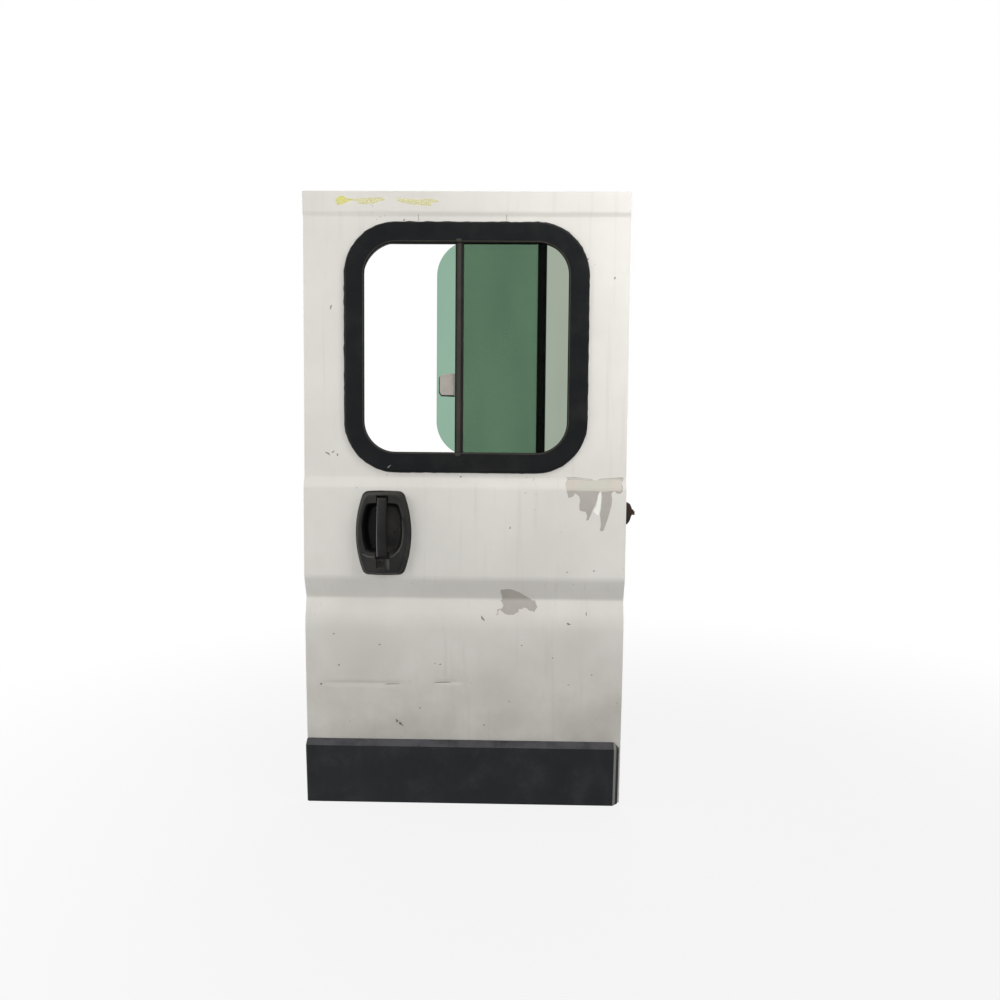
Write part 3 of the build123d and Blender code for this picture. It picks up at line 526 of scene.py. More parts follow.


# Its third colour, a road stain, darkens the rain streaks and, below 0.36 m, paints the shade of the lower panel.
BODY_PAINT = make_paint("body paint", (214, 211, 205), (206, 203, 197), (150, 144, 134), 0.36, 0.4)
INNER_PAINT = make_paint("inner paint", (205, 202, 195), (196, 192, 185), (150, 143, 132), 0.9, 0.5)
BARE_PRIMER = make_paint("bare primer", (170, 163, 157), (159, 158, 149), (134, 128, 120), 0.2, 0.6, 20.0)
CHIP_DARK = make_paint("chip dark", (134, 130, 124), (104, 100, 94), (80, 74, 66), 0.9, 0.6, 60.0)
FRAME_BLACK = make_plastic("frame black", (10, 12, 14), (17, 18, 19), 1500.0, 0.00003, 0.4, 0.2, 0.06, 0.14)
HANDLE_BLACK = make_plastic("handle black", (14, 14, 14), (24, 23, 22), 1300.0, 0.00006, 0.42, 0.3, 0.08, 0.22)
CLADDING_BLACK = make_plastic(
    "cladding black", (22, 25, 27), (34, 35, 38), 700.0, 0.0001, 0.5, 0.45, 0.1,
    pale_strip=(-0.003, 0.0028, colour(146, 146, 143)), powder=colour(146, 143, 150)
)
BAR_BLACK = make_plastic("bar black", (5, 7, 6), (9, 11, 10), 1500.0, 0.00003, 0.5, 0.1, 0.03, 0.06)
# The left half of the bowl's floor is painted near black as shade.
BEZEL_BLACK = make_plastic(
    "bezel black", (18, 18, 18), (36, 35, 34), 1300.0, 0.00006, 0.42, 0.35, 0.12, 0.24,
    painted_shade=(-0.583, -0.045)
)
# The pale strip on the lever's left chamfer is a painted highlight.
LEVER_BLACK = make_plastic(
    "lever black", (15, 15, 15), (25, 24, 24), 1300.0, 0.00006, 0.4, 0.25, 0.08, 0.22,
    pale_strip=(-0.597, -0.5935, colour(112, 112, 110))
)
# Pale grey that paints the highlights on the handle bowl's rim and on the rib beside the lock.
HANDLE_HIGHLIGHT = make_plastic("painted handle highlight", (58, 58, 56), (76, 75, 72), 1300.0, 0.00004, 0.45)
RUBBER = make_plastic("black rubber", (12, 12, 12), (22, 21, 20), 1100.0, 0.00004, 0.62, 0.3, 0.1)
MULLION_BRONZE = make_plastic("mullion bronze", (44, 42, 37), (54, 51, 44), 1800.0, 0.00002, 0.36, 0.2, 0.1)
LATCH_GREY = make_plastic("latch grey", (168, 162, 155), (152, 147, 140), 1400.0, 0.00003, 0.42)
FIXED_GLASS = make_glass("fixed glass", (0.355, 0.41, 0.335, 1), (0.315, 0.37, 0.3, 1))
SLIDING_GLASS = make_glass("sliding glass", (0.285, 0.45, 0.345, 1), (0.245, 0.395, 0.3, 1))
PLATED_STEEL = make_metal("plated steel", (176, 172, 160), (120, 104, 82), 0.32)
# Near black: the lock barrel stands in as painted shade of its recess; the handle pin shares this finish.
LOCK_SHADE_METAL = make_metal("lock metal in painted shade", (20, 20, 19), (9, 9, 9), 0.5, 0.9)
# Lighter copy of the bare primer for the band on the up-facing shoulder: painted light over the primer's own pink and
# green tint.
PRIMER_LIT = make_paint("primer with painted light", (195, 183, 174), (185, 185, 173), (160, 150, 140), 0.2, 0.6, 14.0)
# Grey of the painted shadow under the raised paint edge of the peeled band.
EDGE_SHADOW = make_paint("painted peel edge shadow", (168, 165, 156), (150, 148, 138), (130, 124, 116), 0.2, 0.6, 40.0)
GREASY_STEEL = make_metal("greasy steel", (70, 62, 54), (34, 29, 25), 0.5, 0.9)
PALE_LINE = make_paint("pale sealant", (240, 238, 232), (228, 226, 220), (180, 176, 168), 0.2, 0.4)
GREASY_RUBBER = make_plastic("greasy rubber", (24, 20, 17), (62, 44, 30), 500.0, 0.0003, 0.42, 0.2, 0.2)


def make_crayon(name, strength):
    """Waxy yellow crayon that covers the paint only in patches."""
    finish, tree, shader, place = new_finish(name, Roughness=0.6)
    patches = span(tree, noise(tree, place, 420.0, 3.0, 0.7), 0.3, 0.62)
    tree.links.new(blend(tree, patches, colour(236, 233, 180), colour(232, 228, 112)), shader.inputs["Base Color"])
    tree.links.new(times(tree, patches, strength), shader.inputs["Alpha"])
    return finish


CRAYON = make_crayon("yellow crayon", 0.8)
FAINT_CRAYON = make_crayon("faint yellow crayon", 0.3)

SOLID_FINISHES = [
    (BODY_PAINT, ["outer_skin"]),
    (
        INNER_PAINT,
        [
            "inner_panel_lower", "inner_panel_waist", "inner_panel_upper", "window_collar",
            "closing_channel", "hinge_channel", "head_channel", "sill_channel", "skin_stiffener",
            "hinge_plate_lower", "hinge_plate_upper",
        ],
    ),
    (FRAME_BLACK, ["window_frame", "window_clamp_ring", "slide_track_top", "slide_track_bottom"]),
    (BAR_BLACK, ["sliding_glass_bar"]),
    (MULLION_BRONZE, ["mullion"]),
    (FIXED_GLASS, ["fixed_glass"]),
    (SLIDING_GLASS, ["sliding_glass"]),
    (RUBBER, ["glass_gasket", "blanking_plugs", "window_latch_grip"]),
    (GREASY_RUBBER, ["check_buffer"]),
    (LATCH_GREY, ["window_latch"]),
    (BEZEL_BLACK, ["handle_bezel", "release_cup"]),
    (HANDLE_BLACK, ["handle_lever", "release_paddle"]),
    (CLADDING_BLACK, ["lower_cladding"]),
    (LOCK_SHADE_METAL, ["lock_barrel", "handle_pin"]),
    (PLATED_STEEL, ["latch_case", "latch_bolt", "latch_rods", "end_bolts", "bolt_guides", "check_box"]),
    (GREASY_STEEL, ["check_strap"]),
]
for finish, names in SOLID_FINISHES:
    for name in names:
        solid = nodes[name]
        solid.data.materials.clear()
        solid.data.materials.append(finish)


# Outer skin, pressed from one sheet

DENTS = [
    # across, height, depth pressed in, reach
    (-640.0, 312.0, 1.6, 70.0),
    (-425.0, 315.0, 1.1, 55.0),
    (-330.0, 250.0, 0.9, 120.0),
    (-170.0, 360.0, 0.8, 140.0),
    (-90.0, 640.0, 0.7, 110.0),
    (-700.0, 430.0, 0.7, 60.0),
    (-60.0, 1180.0, 0.6, 90.0),
]
CREASES = [(-728.0, -541.0, 306.0), (-458.0, -395.0, 312.0)]
CREASE_PRESS = 1.5
CREASE_REACH = 9.0
SKIN_GRID = 14.0
DENT_CORE = 0.011
WAVE_SPREAD = 0.22
WAVE_HEIGHT = 0.0014
CUT_REACH = 60.0
HOLE_HALF_WIDTH = 39.0
HOLE_HALF_HEIGHT = 93.0
HOLE_BULGE = 0.019
HOLE_CORNER = 0.02


def press_bends():
    """Fold the flat sheet to the side view and round each fold."""
    for _, height, _ in SKIN_PROFILE[1:-1]:
        slice_through(spot(0, 0, height), (0, 0, 1))
    for depth, height, _ in SKIN_PROFILE:
        level = spot(0, 0, height).z
        pick("verts", lambda corner: abs(corner.co.z - level) < 1e-5)
        bpy.ops.transform.translate(value=(0, depth / 1000, 0))
    for before, here, after in zip(SKIN_PROFILE, SKIN_PROFILE[1:], SKIN_PROFILE[2:]):
        lower_lean = math.atan2(here[0] - before[0], here[1] - before[1])
        upper_lean = math.atan2(after[0] - here[0], after[1] - here[1])
        reach = here[2] * math.tan(abs(upper_lean - lower_lean) / 2)
        level = spot(0, 0, here[1]).z
        pick("edges", lambda edge: abs(middle(edge).z - level) < 1e-5 and abs(run(edge).x) > 0.99)
        round_picked(reach / 1000, 6)


def grid_sheet():
    """Divide the pressing into a net fine enough for dents."""
    across = SKIN_LEFT + SKIN_GRID
    while across < SKIN_RIGHT - 2:
        slice_through(spot(across, 0, 0), (1, 0, 0))
        across += SKIN_GRID
    height = SKIN_GRID
    while height < SKIN_TOP - 2:
        slice_through(spot(0, 0, height), (0, 0, 1))
        height += SKIN_GRID
    for left, right, level in CREASES:
        for step in (-2.5, 0.0, 2.5):
            slice_through(spot(0, 0, level + step), (0, 0, 1))


def push_in(test, press, reach):
    """Press the picked corners in, the sheet round them following."""
    if pick("verts", test):
        bpy.ops.transform.translate(
            value=(0, press / 1000, 0),
            use_proportional_edit=True,
            proportional_edit_falloff="SMOOTH",
            proportional_size=reach / 1000,
        )


def hem_edges():
    """Fold the four edges of the skin back round the inner flange."""
    pick("edges", lambda edge: edge.is_boundary)
    bpy.ops.mesh.extrude_region_move(TRANSFORM_OT_translate={"value": (0, HEM_DEPTH / 1000, 0)})
    low = spot(SKIN_LEFT, 0, 0)
    high = spot(SKIN_RIGHT, 0, SKIN_TOP)
    turn = HEM_WIDTH / 1000
    inside = turn + 0.001
    for side, shift in ((low.x, turn), (high.x, -turn)):
        pick("edges", lambda edge: edge.is_boundary and all(abs(c.co.x - side) < 1e-5 for c in edge.verts))
        bpy.ops.mesh.extrude_region_move(TRANSFORM_OT_translate={"value": (shift, 0, 0)})
    for side, shift in ((low.z, turn), (high.z, -turn)):
        pick(
            "edges",
            lambda edge: edge.is_boundary
            and all(abs(c.co.z - side) < 1e-5 and low.x + inside < c.co.x < high.x - inside for c in edge.verts),
        )
        bpy.ops.mesh.extrude_region_move(TRANSFORM_OT_translate={"value": (0, 0, shift)})


def window_cutter(name, grow, front, back):
    """Rounded block of the window's outline, grown outwards."""
    half_width = WINDOW_WIDTH / 2 + grow
    half_height = WINDOW_HEIGHT / 2 + grow
    left, right = WINDOW_MIDDLE - half_width, WINDOW_MIDDLE + half_width
    cutter = block(name, left, right, front, back, WINDOW_LEVEL - half_height, WINDOW_LEVEL + half_height)
    pick("edges", lambda edge: abs(run(edge).y) > 0.99)
    round_picked((WINDOW_CORNER + grow) / 1000, 20)
    put_down()
    return cutter


def handle_cutter():
    """Barrel-shaped block for the hole behind the handle."""
    left, right = HANDLE_ACROSS - HOLE_HALF_WIDTH, HANDLE_ACROSS + HOLE_HALF_WIDTH
    bottom, top = HANDLE_LEVEL - HOLE_HALF_HEIGHT, HANDLE_LEVEL + HOLE_HALF_HEIGHT
    cutter = block("handle_hole", left, right, -CUT_REACH, CUT_REACH, bottom, top)
    slice_through(spot(0, 0, HANDLE_LEVEL), (0, 0, 1))
    level = spot(0, 0, HANDLE_LEVEL).z
    for side in (-1, 1):
        edge_place = spot(HANDLE_ACROSS + side * HOLE_HALF_WIDTH, 0, 0).x
        pick("verts", lambda corner: abs(corner.co.z - level) < 1e-5 and abs(corner.co.x - edge_place) < 1e-4)
        bpy.ops.transform.translate(value=(side * HOLE_BULGE, 0, 0))
    pick("edges", lambda edge: abs(run(edge).y) > 0.99)
    round_picked(HOLE_CORNER, 6)
    put_down()
    return cutter


def make_door_skin():
    """Outer skin with its swages, dents, soft waves, hem and openings."""
    skin = sheet("door_skin", SKIN_LEFT, SKIN_RIGHT, 0, 0, SKIN_TOP)
    press_bends()
    grid_sheet()
    for across, height, press, reach in DENTS:
        place = spot(across, 0, height)
        push_in(lambda c: math.hypot(c.co.x - place.x, c.co.z - place.z) < DENT_CORE, press, reach)
    for left, right, level in CREASES:
        low, high = spot(left, 0, level), spot(right, 0, level)
        push_in(lambda c: low.x < c.co.x < high.x and abs(c.co.z - low.z) < 1e-4, CREASE_PRESS, CREASE_REACH)
    put_down()
    waves = bpy.data.textures.new("soft waves", "CLOUDS")
    waves.noise_scale = WAVE_SPREAD
    waves.noise_depth = 1
    modify(skin, "DISPLACE", texture=waves, strength=WAVE_HEIGHT, mid_level=0.5, direction="Y")
    reopen(skin)
    hem_edges()
    modify(skin, "SOLIDIFY", thickness=SKIN_SHEET / 1000, offset=-1.0, use_even_offset=True)
    cut_away(skin, window_cutter("window_hole", APERTURE, -CUT_REACH, CUT_REACH))
    cut_away(skin, handle_cutter())
    fit(skin, BODY_PAINT, angle=30)
    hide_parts("outer_skin")
    return skin


# Marks and bare patches that lie on the skin

MARK_STANDOFF = 12.0
MARK_LIFT = 0.00006


def skin_mark(name, outline, finish, carrier, ragged=0.0, seed=1, thick=0.12, slices=4.0, lip=0.0):
    """Thin flake laid on a carrier, its outline given across and up; with a lip, only its rim is kept."""
    piece = flat_outline(name, outline, lambda height: skin_depth(height) - MARK_STANDOFF)
    if ragged:
        bpy.ops.mesh.subdivide(number_cuts=3, fractal=ragged, fractal_along_normal=0, seed=seed)
    if lip:
        bpy.ops.mesh.inset(thickness=lip / 1000, depth=0, use_even_offset=False)
        bpy.ops.mesh.delete(type="FACE")
    heights = [height for across, height in outline]
    level = min(heights) + slices
    while level < max(heights):
        slice_through(spot(0, 0, level), (0, 0, 1))
        level += slices
    modify(
        piece,
        "SHRINKWRAP",
        target=carrier,
        wrap_method="PROJECT",
        use_project_y=True,
        use_positive_direction=True,
        use_negative_direction=True,
        offset=MARK_LIFT,
    )
    modify(piece, "SOLIDIFY", thickness=thick / 1000, offset=1.0)
    return fit(piece, finish, angle=60)


PEEL_BAND = [
    (-136, 816), (-135, 805), (-132, 792), (-128, 778), (-114, 783), (-111, 790), (-108, 788), (-102, 783),
    (-100, 774), (-102, 761), (-101, 749), (-94, 746), (-86, 745), (-82, 736), (-85, 724), (-77, 724),
    (-70, 739), (-66, 750), (-60, 762), (-56, 774), (-54, 786), (-51, 794), (-48, 796), (-46, 784), (-48, 762),
    (-51, 742), (-49, 729), (-48, 714), (-51, 700), (-44, 697), (-39, 700), (-33, 717), (-28, 732), (-24, 746),
    (-20, 762), (-19, 780), (-21, 790), (-18, 795), (-14, 796), (-10, 791), (-1, 790), (6, 796), (7, 809),
    (4, 816), (8, 823), (9, 829), (-0, 827), (-6, 830), (-39, 830), (-53, 828), (-60, 825), (-73, 825),
    (-109, 828), (-126, 829), (-131, 826),
]
PEEL_STRIP = [
    (-134, 808), (-132, 797), (-118, 799), (-96, 797), (-70, 798), (-40, 796), (-18, 799), (0, 797), (4, 804),
    (2, 816), (6, 823), (-8, 827), (-40, 828), (-56, 825), (-72, 822), (-100, 825), (-122, 826),
    (-130, 823), (-134, 815),
]
PAINT_RUN = [
    (-49, 796), (-48, 787), (-47, 771), (-47, 759), (-49, 745), (-53, 738), (-61, 742), (-65, 748), (-63, 753),
    (-59, 759), (-57, 770), (-55, 786),
]
# Thin grey strips along the top of the peeled band: painted shadow under the raised paint edge.
PEEL_EDGE_SHADOWS = [
    [(-131, 830), (-111, 831), (-87, 828), (-69, 827), (-67, 825), (-87, 825), (-110, 826), (-131, 825)],
    [(-50, 829), (-33, 830), (-8, 831), (8, 831), (9, 825), (-7, 827), (-33, 827), (-50, 826)],
]
PEEL_TRIANGLE = [
    (-293, 542), (-290, 532), (-289, 524), (-293, 520), (-289, 514), (-286, 508), (-289, 502), (-297, 501),
    (-302, 497), (-300, 493), (-302, 488), (-305, 485), (-301, 483), (-297, 486), (-296, 492), (-294, 497),
    (-290, 494), (-283, 488), (-276, 485), (-268, 484), (-263, 485), (-259, 484), (-252, 489), (-246, 492),
    (-245, 499), (-239, 498), (-233, 502), (-227, 501), (-223, 497), (-218, 494), (-211, 494), (-208, 490),
    (-203, 498), (-198, 505), (-202, 514), (-205, 522), (-212, 522), (-215, 526), (-221, 530), (-232, 536),
    (-243, 543), (-252, 547), (-263, 551), (-273, 552), (-284, 551), (-293, 550),
]
CHIPS = [
    # across, height, half length, half width, lean
    (-713, 1241, 6.0, 1.8, 1.3), (-722, 884, 7.0, 1.8, 2.6), (-709, 888, 4.0, 1.6, 0.6),
    (-698, 881, 3.4, 2.0, 1.8), (-743, 303, 3.5, 1.8, 0.4), (-542, 201, 7.0, 2.6, 2.4),
    (-594, 407, 2.8, 1.6, 0.2), (-697, 353, 3.0, 1.8, 1.0), (-336, 476, 7.5, 2.2, 2.2),
    (-122, 465, 5.0, 2.4, 2.8), (-78, 490, 5.5, 1.2, 1.6), (-709, 433, 2.6, 1.6, 0.3),
    (-493, 244, 2.6, 1.4, 0.9), (-331, 201, 2.6, 1.5, 0.5), (-22, 1314, 3.4, 2.2, 1.1),
    (-88, 1359, 3.0, 1.8, 0.2), (-270, 705, 3.4, 1.6, 1.4), (-62, 600, 3.0, 1.4, 0.2),
    (-128, 596, 2.4, 1.2, 0.2), (-393, 829, 3.0, 1.6, 0.3), (-534, 1450, 3.0, 1.8, 1.2),
    (-455, 360, 1.8, 1.2, 1.5), (-442, 358, 3.0, 1.3, 0.2), (-563, 305, 20.0, 0.8, 0.03),
    (-436, 311, 24.0, 0.9, 0.02), (-552, 209, 4.5, 2.4, 1.9), (-238, 409, 2.4, 1.2, 0.3),
    (-160, 378, 2.0, 1.1, 0.8), (-62, 336, 2.2, 1.2, 0.5), (-120, 309, 2.0, 1.1, 0.2),
    (-268, 264, 2.2, 1.2, 0.7),
]
CRAYON_STROKES = [
    # across, height, half length, half width, lean
    (-683, 1495, 19.0, 10.0, 0.1),
    (-622, 1494, 42.0, 8.0, 0.03),
    (-500, 1492, 52.0, 8.0, 3.1),
]


def chip_outline(across, height, half_length, half_width, lean):
    """Ragged lens-shaped outline of one chip."""
    outline = []
    for step in range(9):
        turn = 2 * math.pi * step / 9
        swell = 1.0 + 0.28 * math.sin(3.0 * turn + across) + 0.18 * math.cos(5.0 * turn + height)
        along = half_length * math.cos(turn) * swell
        aside = half_width * math.sin(turn) * swell
        outline.append(
            (
                across + along * math.cos(lean) - aside * math.sin(lean),
                height + along * math.sin(lean) + aside * math.cos(lean),
            )
        )
    return outline


def make_marks(skin):
    """Bare patches where the paint has peeled, the shoulder band lightened as painted light, grey strips of painted
    shadow under the raised paint edge, runs, crayon smears and chips.
    """
    skin_mark("bare_patch_shoulder", PEEL_BAND, BARE_PRIMER, skin, 0.6, 4, slices=3.0)
    skin_mark("paint_lip_shoulder", PEEL_BAND, BODY_PAINT, skin, 0.6, 4, 0.45, 3.0, 1.3)
    # The band's lighter colour is painted light on the shoulder's up-facing slope.
    skin_mark("bare_band_shoulder", PEEL_STRIP, PRIMER_LIT, skin, 0.4, 5, 0.16, 3.0)
    skin_mark("paint_run_shoulder", PAINT_RUN, PALE_LINE, skin, 0.3, 7, 0.4, 3.0)
    # The grey strips paint the shadow of the raised paint edge.
    for index, outline in enumerate(PEEL_EDGE_SHADOWS):
        skin_mark(f"peel_edge_shadow_{index + 1}", outline, EDGE_SHADOW, skin, 0.3, index + 3, 0.3, 3.0)
    skin_mark("bare_patch_valley", PEEL_TRIANGLE, BARE_PRIMER, skin, 0.6, 7, slices=3.0)
    skin_mark("paint_lip_valley", PEEL_TRIANGLE, BODY_PAINT, skin, 0.6, 7, 0.45, 3.0, 1.3)
    for index, (across, low, high) in enumerate(((-499, 1448, 1464), (-286, 1449, 1463))):
        outline = [(across - 1.1, low), (across + 0.9, low + 1), (across + 1.2, high - 1), (across - 0.8, high)]
        skin_mark(f"grey_run_{index + 1}", outline, BARE_PRIMER, skin, 0.0, 1, 0.1)
    for index, stroke in enumerate(CRAYON_STROKES):
        wax = FAINT_CRAYON if index else CRAYON
        skin_mark(f"crayon_stroke_{index + 1}", chip_outline(*stroke), wax, skin, 0.4, index + 2, 0.05)
    for index, chip in enumerate(CHIPS):
        skin_mark(f"paint_chip_{index + 1}", chip_outline(*chip), CHIP_DARK, skin, 0.0, 1, 0.1)


door_skin = make_door_skin()
make_marks(door_skin)


# Window frame edges, mullion and latch

# Rings round the window: growth of the outer and the inner outline, front and back depth
FRAME_EDGE = (1.2, -1.5, -8.4, -4.7)
FRAME_LIP = (1.0, -3.6, -4.6, -2.9)
SEALANT = (47.4, 44.0, -1.9, 0.2)
SEALANT_LUMPS = 0.0012


def window_band(name, outer, inner, front, back):
    """Ring round the window between two outlines and two depths."""
    band = window_cutter(name, outer, front, back)
    return cut_away(band, window_cutter(name + "_hole", inner, front - 5, back + 5))


def make_frame_edges():
    """Bevelled inner edge, rubber lip, sealant squeezed out round the frame, a scratch and two plugs."""
    edge = soften(window_band("frame_inner_edge", *FRAME_EDGE), 0.9)
    fit(edge, MULLION_BRONZE)
    lip = soften(window_band("frame_rubber_lip", *FRAME_LIP), 0.6)
    fit(lip, RUBBER)
    bead = window_band("frame_sealant", *SEALANT)
    reopen(bead)
    for cuts in (7, 3):
        pick("edges", lambda edge: (edge.verts[0].co - edge.verts[1].co).length > 0.012)
        bpy.ops.mesh.subdivide(number_cuts=cuts)
    pick("verts", lambda corner: corner.co.y < spot(0, -1, 0).y)
    bpy.ops.transform.vertex_random(offset=SEALANT_LUMPS, uniform=0.3, normal=0.0, seed=4)
    fit(bead, RUBBER, angle=60)
    scratch = chip_outline(-569, 853, 5.0, 0.8, 0.7)
    skin_mark("frame_scratch", scratch, BARE_PRIMER, nodes["window_frame"], 0.0, 1, 0.06)
    plug = round_bar("frame_plug_1", 3.4, spot(-480.3, -9.7, 862.5), spot(-480.3, -8.8, 862.5), 24)
    soften(plug, 0.35)
    fit(clone(plug, "frame_plug_2", (0.0762, 0, 0.0007)), FRAME_BLACK)
    fit(plug, FRAME_BLACK)


def make_mullion():
    """Post between the panes with its brush, rubber and ends, and the end cap of the slide track."""
    post = block("mullion_post", -406.0, -394.4, -4.3, 6.5, 877, 1408)
    slice_through(spot(-403.2, 0, 0), (1, 0, 0))
    left = spot(-404, 0, 0).x
    pick("faces", lambda face: face.normal.y < -0.9 and middle(face).x < left)
    bpy.ops.mesh.extrude_region_move(TRANSFORM_OT_translate={"value": (0, 0.002, 0)})
    soften(post, 0.6)
    fit(post, MULLION_BRONZE)
    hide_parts("mullion")
    rubber = block("mullion_rubber", -394.3, -387.8, -3.6, -0.4, 880, 1405)
    outer = spot(-388.5, 0, 0).x
    face = spot(0, -2, 0).y
    pick("edges", lambda edge: abs(run(edge).z) > 0.9 and middle(edge).y < face and middle(edge).x > outer)
    round_picked(0.0022, 3)
    fit(rubber, RUBBER)
    brush = block("mullion_brush", -408.2, -406.1, 0.5, 6.0, 880, 1405)
    pick("faces", lambda face: face.normal.x < -0.9)
    bpy.ops.mesh.inset(thickness=0.0008, depth=0.0004)
    fit(brush, RUBBER)
    end = block("mullion_end_top", -406.2, -394.2, -9.3, -3.5, 1397, 1405)
    front = spot(0, -9, 0).y
    high = spot(0, 0, 1402).z
    pick("edges", lambda edge: abs(run(edge).x) > 0.9 and middle(edge).y < front and middle(edge).z > high)
    round_picked(0.002, 3)
    soften(end, 0.6, 2, 40)
    fit(clone(end, "mullion_end_bottom", (0, 0, -0.517)), MULLION_BRONZE)
    fit(end, MULLION_BRONZE)
    cap = block("track_end_cap", -574, -553.9, 7.4, 16.2, 1396.8, 1406)
    low = spot(0, 0, 1398).z
    side = spot(-570, 0, 0).x
    pick("edges", lambda edge: abs(run(edge).y) > 0.9 and middle(edge).z < low and middle(edge).x < side)
    round_picked(0.0025, 3)
    fit(cap, RUBBER)


# The dark pad reaches past the tab only on the left and below: a painted shadow of the tab.
LATCH_SHADOW_PAD = [(-409.8, 1082.4), (-436, 1082.4), (-448.8, 1073), (-448.8, 1035), (-443, 1027), (-409.8, 1025.6)]
LATCH_TAB = [(-409.8, 1082.4), (-435.5, 1082.4), (-446.4, 1073.5), (-446.4, 1036), (-441.6, 1029.8), (-409.8, 1029.4)]


def make_window_latch():
    """Finger tab of the sliding pane on a dark pad whose rim, left of and below the tab, paints the tab's shadow."""
    pad = soften(flat_plate("latch_shadow_pad", LATCH_SHADOW_PAD, 8.2, 1.3), 0.4, 2)
    fit(pad, RUBBER)
    tab = flat_plate("latch_tab", LATCH_TAB, 5.5, 2.6)
    reopen(tab)
    pick("faces", lambda face: face.normal.y < -0.9)
    bpy.ops.mesh.inset(thickness=0.004)
    bpy.ops.mesh.inset(thickness=0.0015, depth=-0.0008)
    soften(tab, 0.5, 2, 20)
    fit(tab, LATCH_GREY)
    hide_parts("window_latch")


# Handle

LEVER_FOOT = 631.8
LEVER_HEAD = 776.8
LEVER_STEPS = 18
LEVER_HALF_WIDTH = 13.7
LEVER_FRONT = -36.0
LEVER_BACK = -25.0
LEVER_BOW = 9.5
LEVER_SWELL = 9.0
LEVER_TAPER = 2.1
LEVER_CHAMFER = 0.0042


def make_lever():
    """Arched pull lever with chamfered long edges."""
    half_height = (LEVER_HEAD - LEVER_FOOT) / 2
    level = LEVER_FOOT + half_height
    left, right = HANDLE_ACROSS - LEVER_HALF_WIDTH, HANDLE_ACROSS + LEVER_HALF_WIDTH
    lever = block("pull_lever", left, right, LEVER_FRONT, LEVER_BACK, LEVER_FOOT, LEVER_HEAD)
    for step in range(1, LEVER_STEPS):
        slice_through(spot(0, 0, LEVER_FOOT + (LEVER_HEAD - LEVER_FOOT) * step / LEVER_STEPS), (0, 0, 1))
    parting = spot(0, (LEVER_FRONT + LEVER_BACK) / 2, 0).y
    centre = spot(HANDLE_ACROSS, 0, 0).x
    for step in range(LEVER_STEPS + 1):
        height = LEVER_FOOT + (LEVER_HEAD - LEVER_FOOT) * step / LEVER_STEPS
        here = spot(0, 0, height).z
        bow = LEVER_BOW * (1 - ((height - level) / half_height) ** 2)
        swell = LEVER_SWELL * max(0.0, (height - level) / half_height) ** 1.5
        taper = LEVER_TAPER * step / LEVER_STEPS
        pick("verts", lambda corner: abs(corner.co.z - here) < 1e-5)
        bpy.ops.transform.translate(value=(0, -bow / 1000, 0))
        pick("verts", lambda corner: abs(corner.co.z - here) < 1e-5 and corner.co.y > parting - bow / 1000)
        bpy.ops.transform.translate(value=(0, swell / 1000, 0))
        for side in (-1, 1):
            pick("verts", lambda corner: abs(corner.co.z - here) < 1e-5 and (corner.co.x - centre) * side > 0)
            bpy.ops.transform.translate(value=(-side * taper / 1000, 0, 0))
    pick("faces", lambda face: face.normal.y < -0.7)
    bpy.ops.mesh.region_to_loop()
    bpy.ops.mesh.bevel(offset=LEVER_CHAMFER, segments=2, profile=0.35, affect="EDGES")
    soften(lever, 0.9, 2, 24)
    fit(lever, LEVER_BLACK, "lever", 40)
    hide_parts("handle_lever")


# Outlines of the pale strips on the bowl's rim: painted highlights along its right side and its foot.
RIM_HIGHLIGHT_SIDE = [
    (-532.9, 721.6), (-529.6, 705.3), (-529.6, 683.0), (-533.4, 660.6), (-539.8, 646.4), (-553.9, 632.8),
    (-562.0, 630.6), (-562.0, 634.0), (-556.1, 636.0), (-542.7, 649.0), (-536.2, 661.6), (-532.6, 683.0),
    (-532.6, 705.2), (-534.6, 721.5),
]
RIM_HIGHLIGHT_FOOT = [(-631.2, 637.2), (-617.8, 630.3), (-603.0, 629.7), (-603.0, 633.2), (-616.3, 633.9), (-629.6, 639.6)]


def make_handle_details():
    """Rib beside the lock and pale strips on the bowl's rim, both pale as painted highlights, and the peg on the
    bowl's floor.
    """
    rib = block("lock_rib", -570.4, -564.4, -32.6, -30.8, 601, 626.5)
    lean = spot(0, 0, 620).z
    pick("verts", lambda corner: corner.co.z < lean and corner.co.y < spot(0, -32, 0).y)
    bpy.ops.transform.translate(value=(0.0012, 0, 0))
    soften(rib, 0.8, 3)
    fit(rib, HANDLE_HIGHLIGHT)
    for name, outline in (("bowl_rim_highlight_side", RIM_HIGHLIGHT_SIDE), ("bowl_rim_highlight_foot", RIM_HIGHLIGHT_FOOT)):
        strip = flat_plate(name, outline, -32.1, 1.2)
        soften(strip, 0.4, 2, 40)
        fit(strip, HANDLE_HIGHLIGHT, angle=50)
    peg = round_bar("bowl_peg", 3.2, spot(-558.5, 5.0, 690.1), spot(-558.5, 7.0, 690.1), 24)
    soften(peg, 0.9)
    fit(peg, HANDLE_BLACK)


# Door check

BUFFER_OUTLINE = [
    (11, 771), (16.7, 769.8), (20.8, 769), (24.4, 767.2), (27.4, 764.6), (29.5, 761.1), (31, 757),
    (31.8, 753.2), (34.6, 752), (37.2, 749.7), (36.6, 746.4), (34.2, 743.4), (32.6, 739.4), (31.2, 735.7),
    (29.6, 729.6), (27.6, 724.4), (25.3, 720.4), (21.6, 716.4), (17.3, 714), (11, 714.4),
]


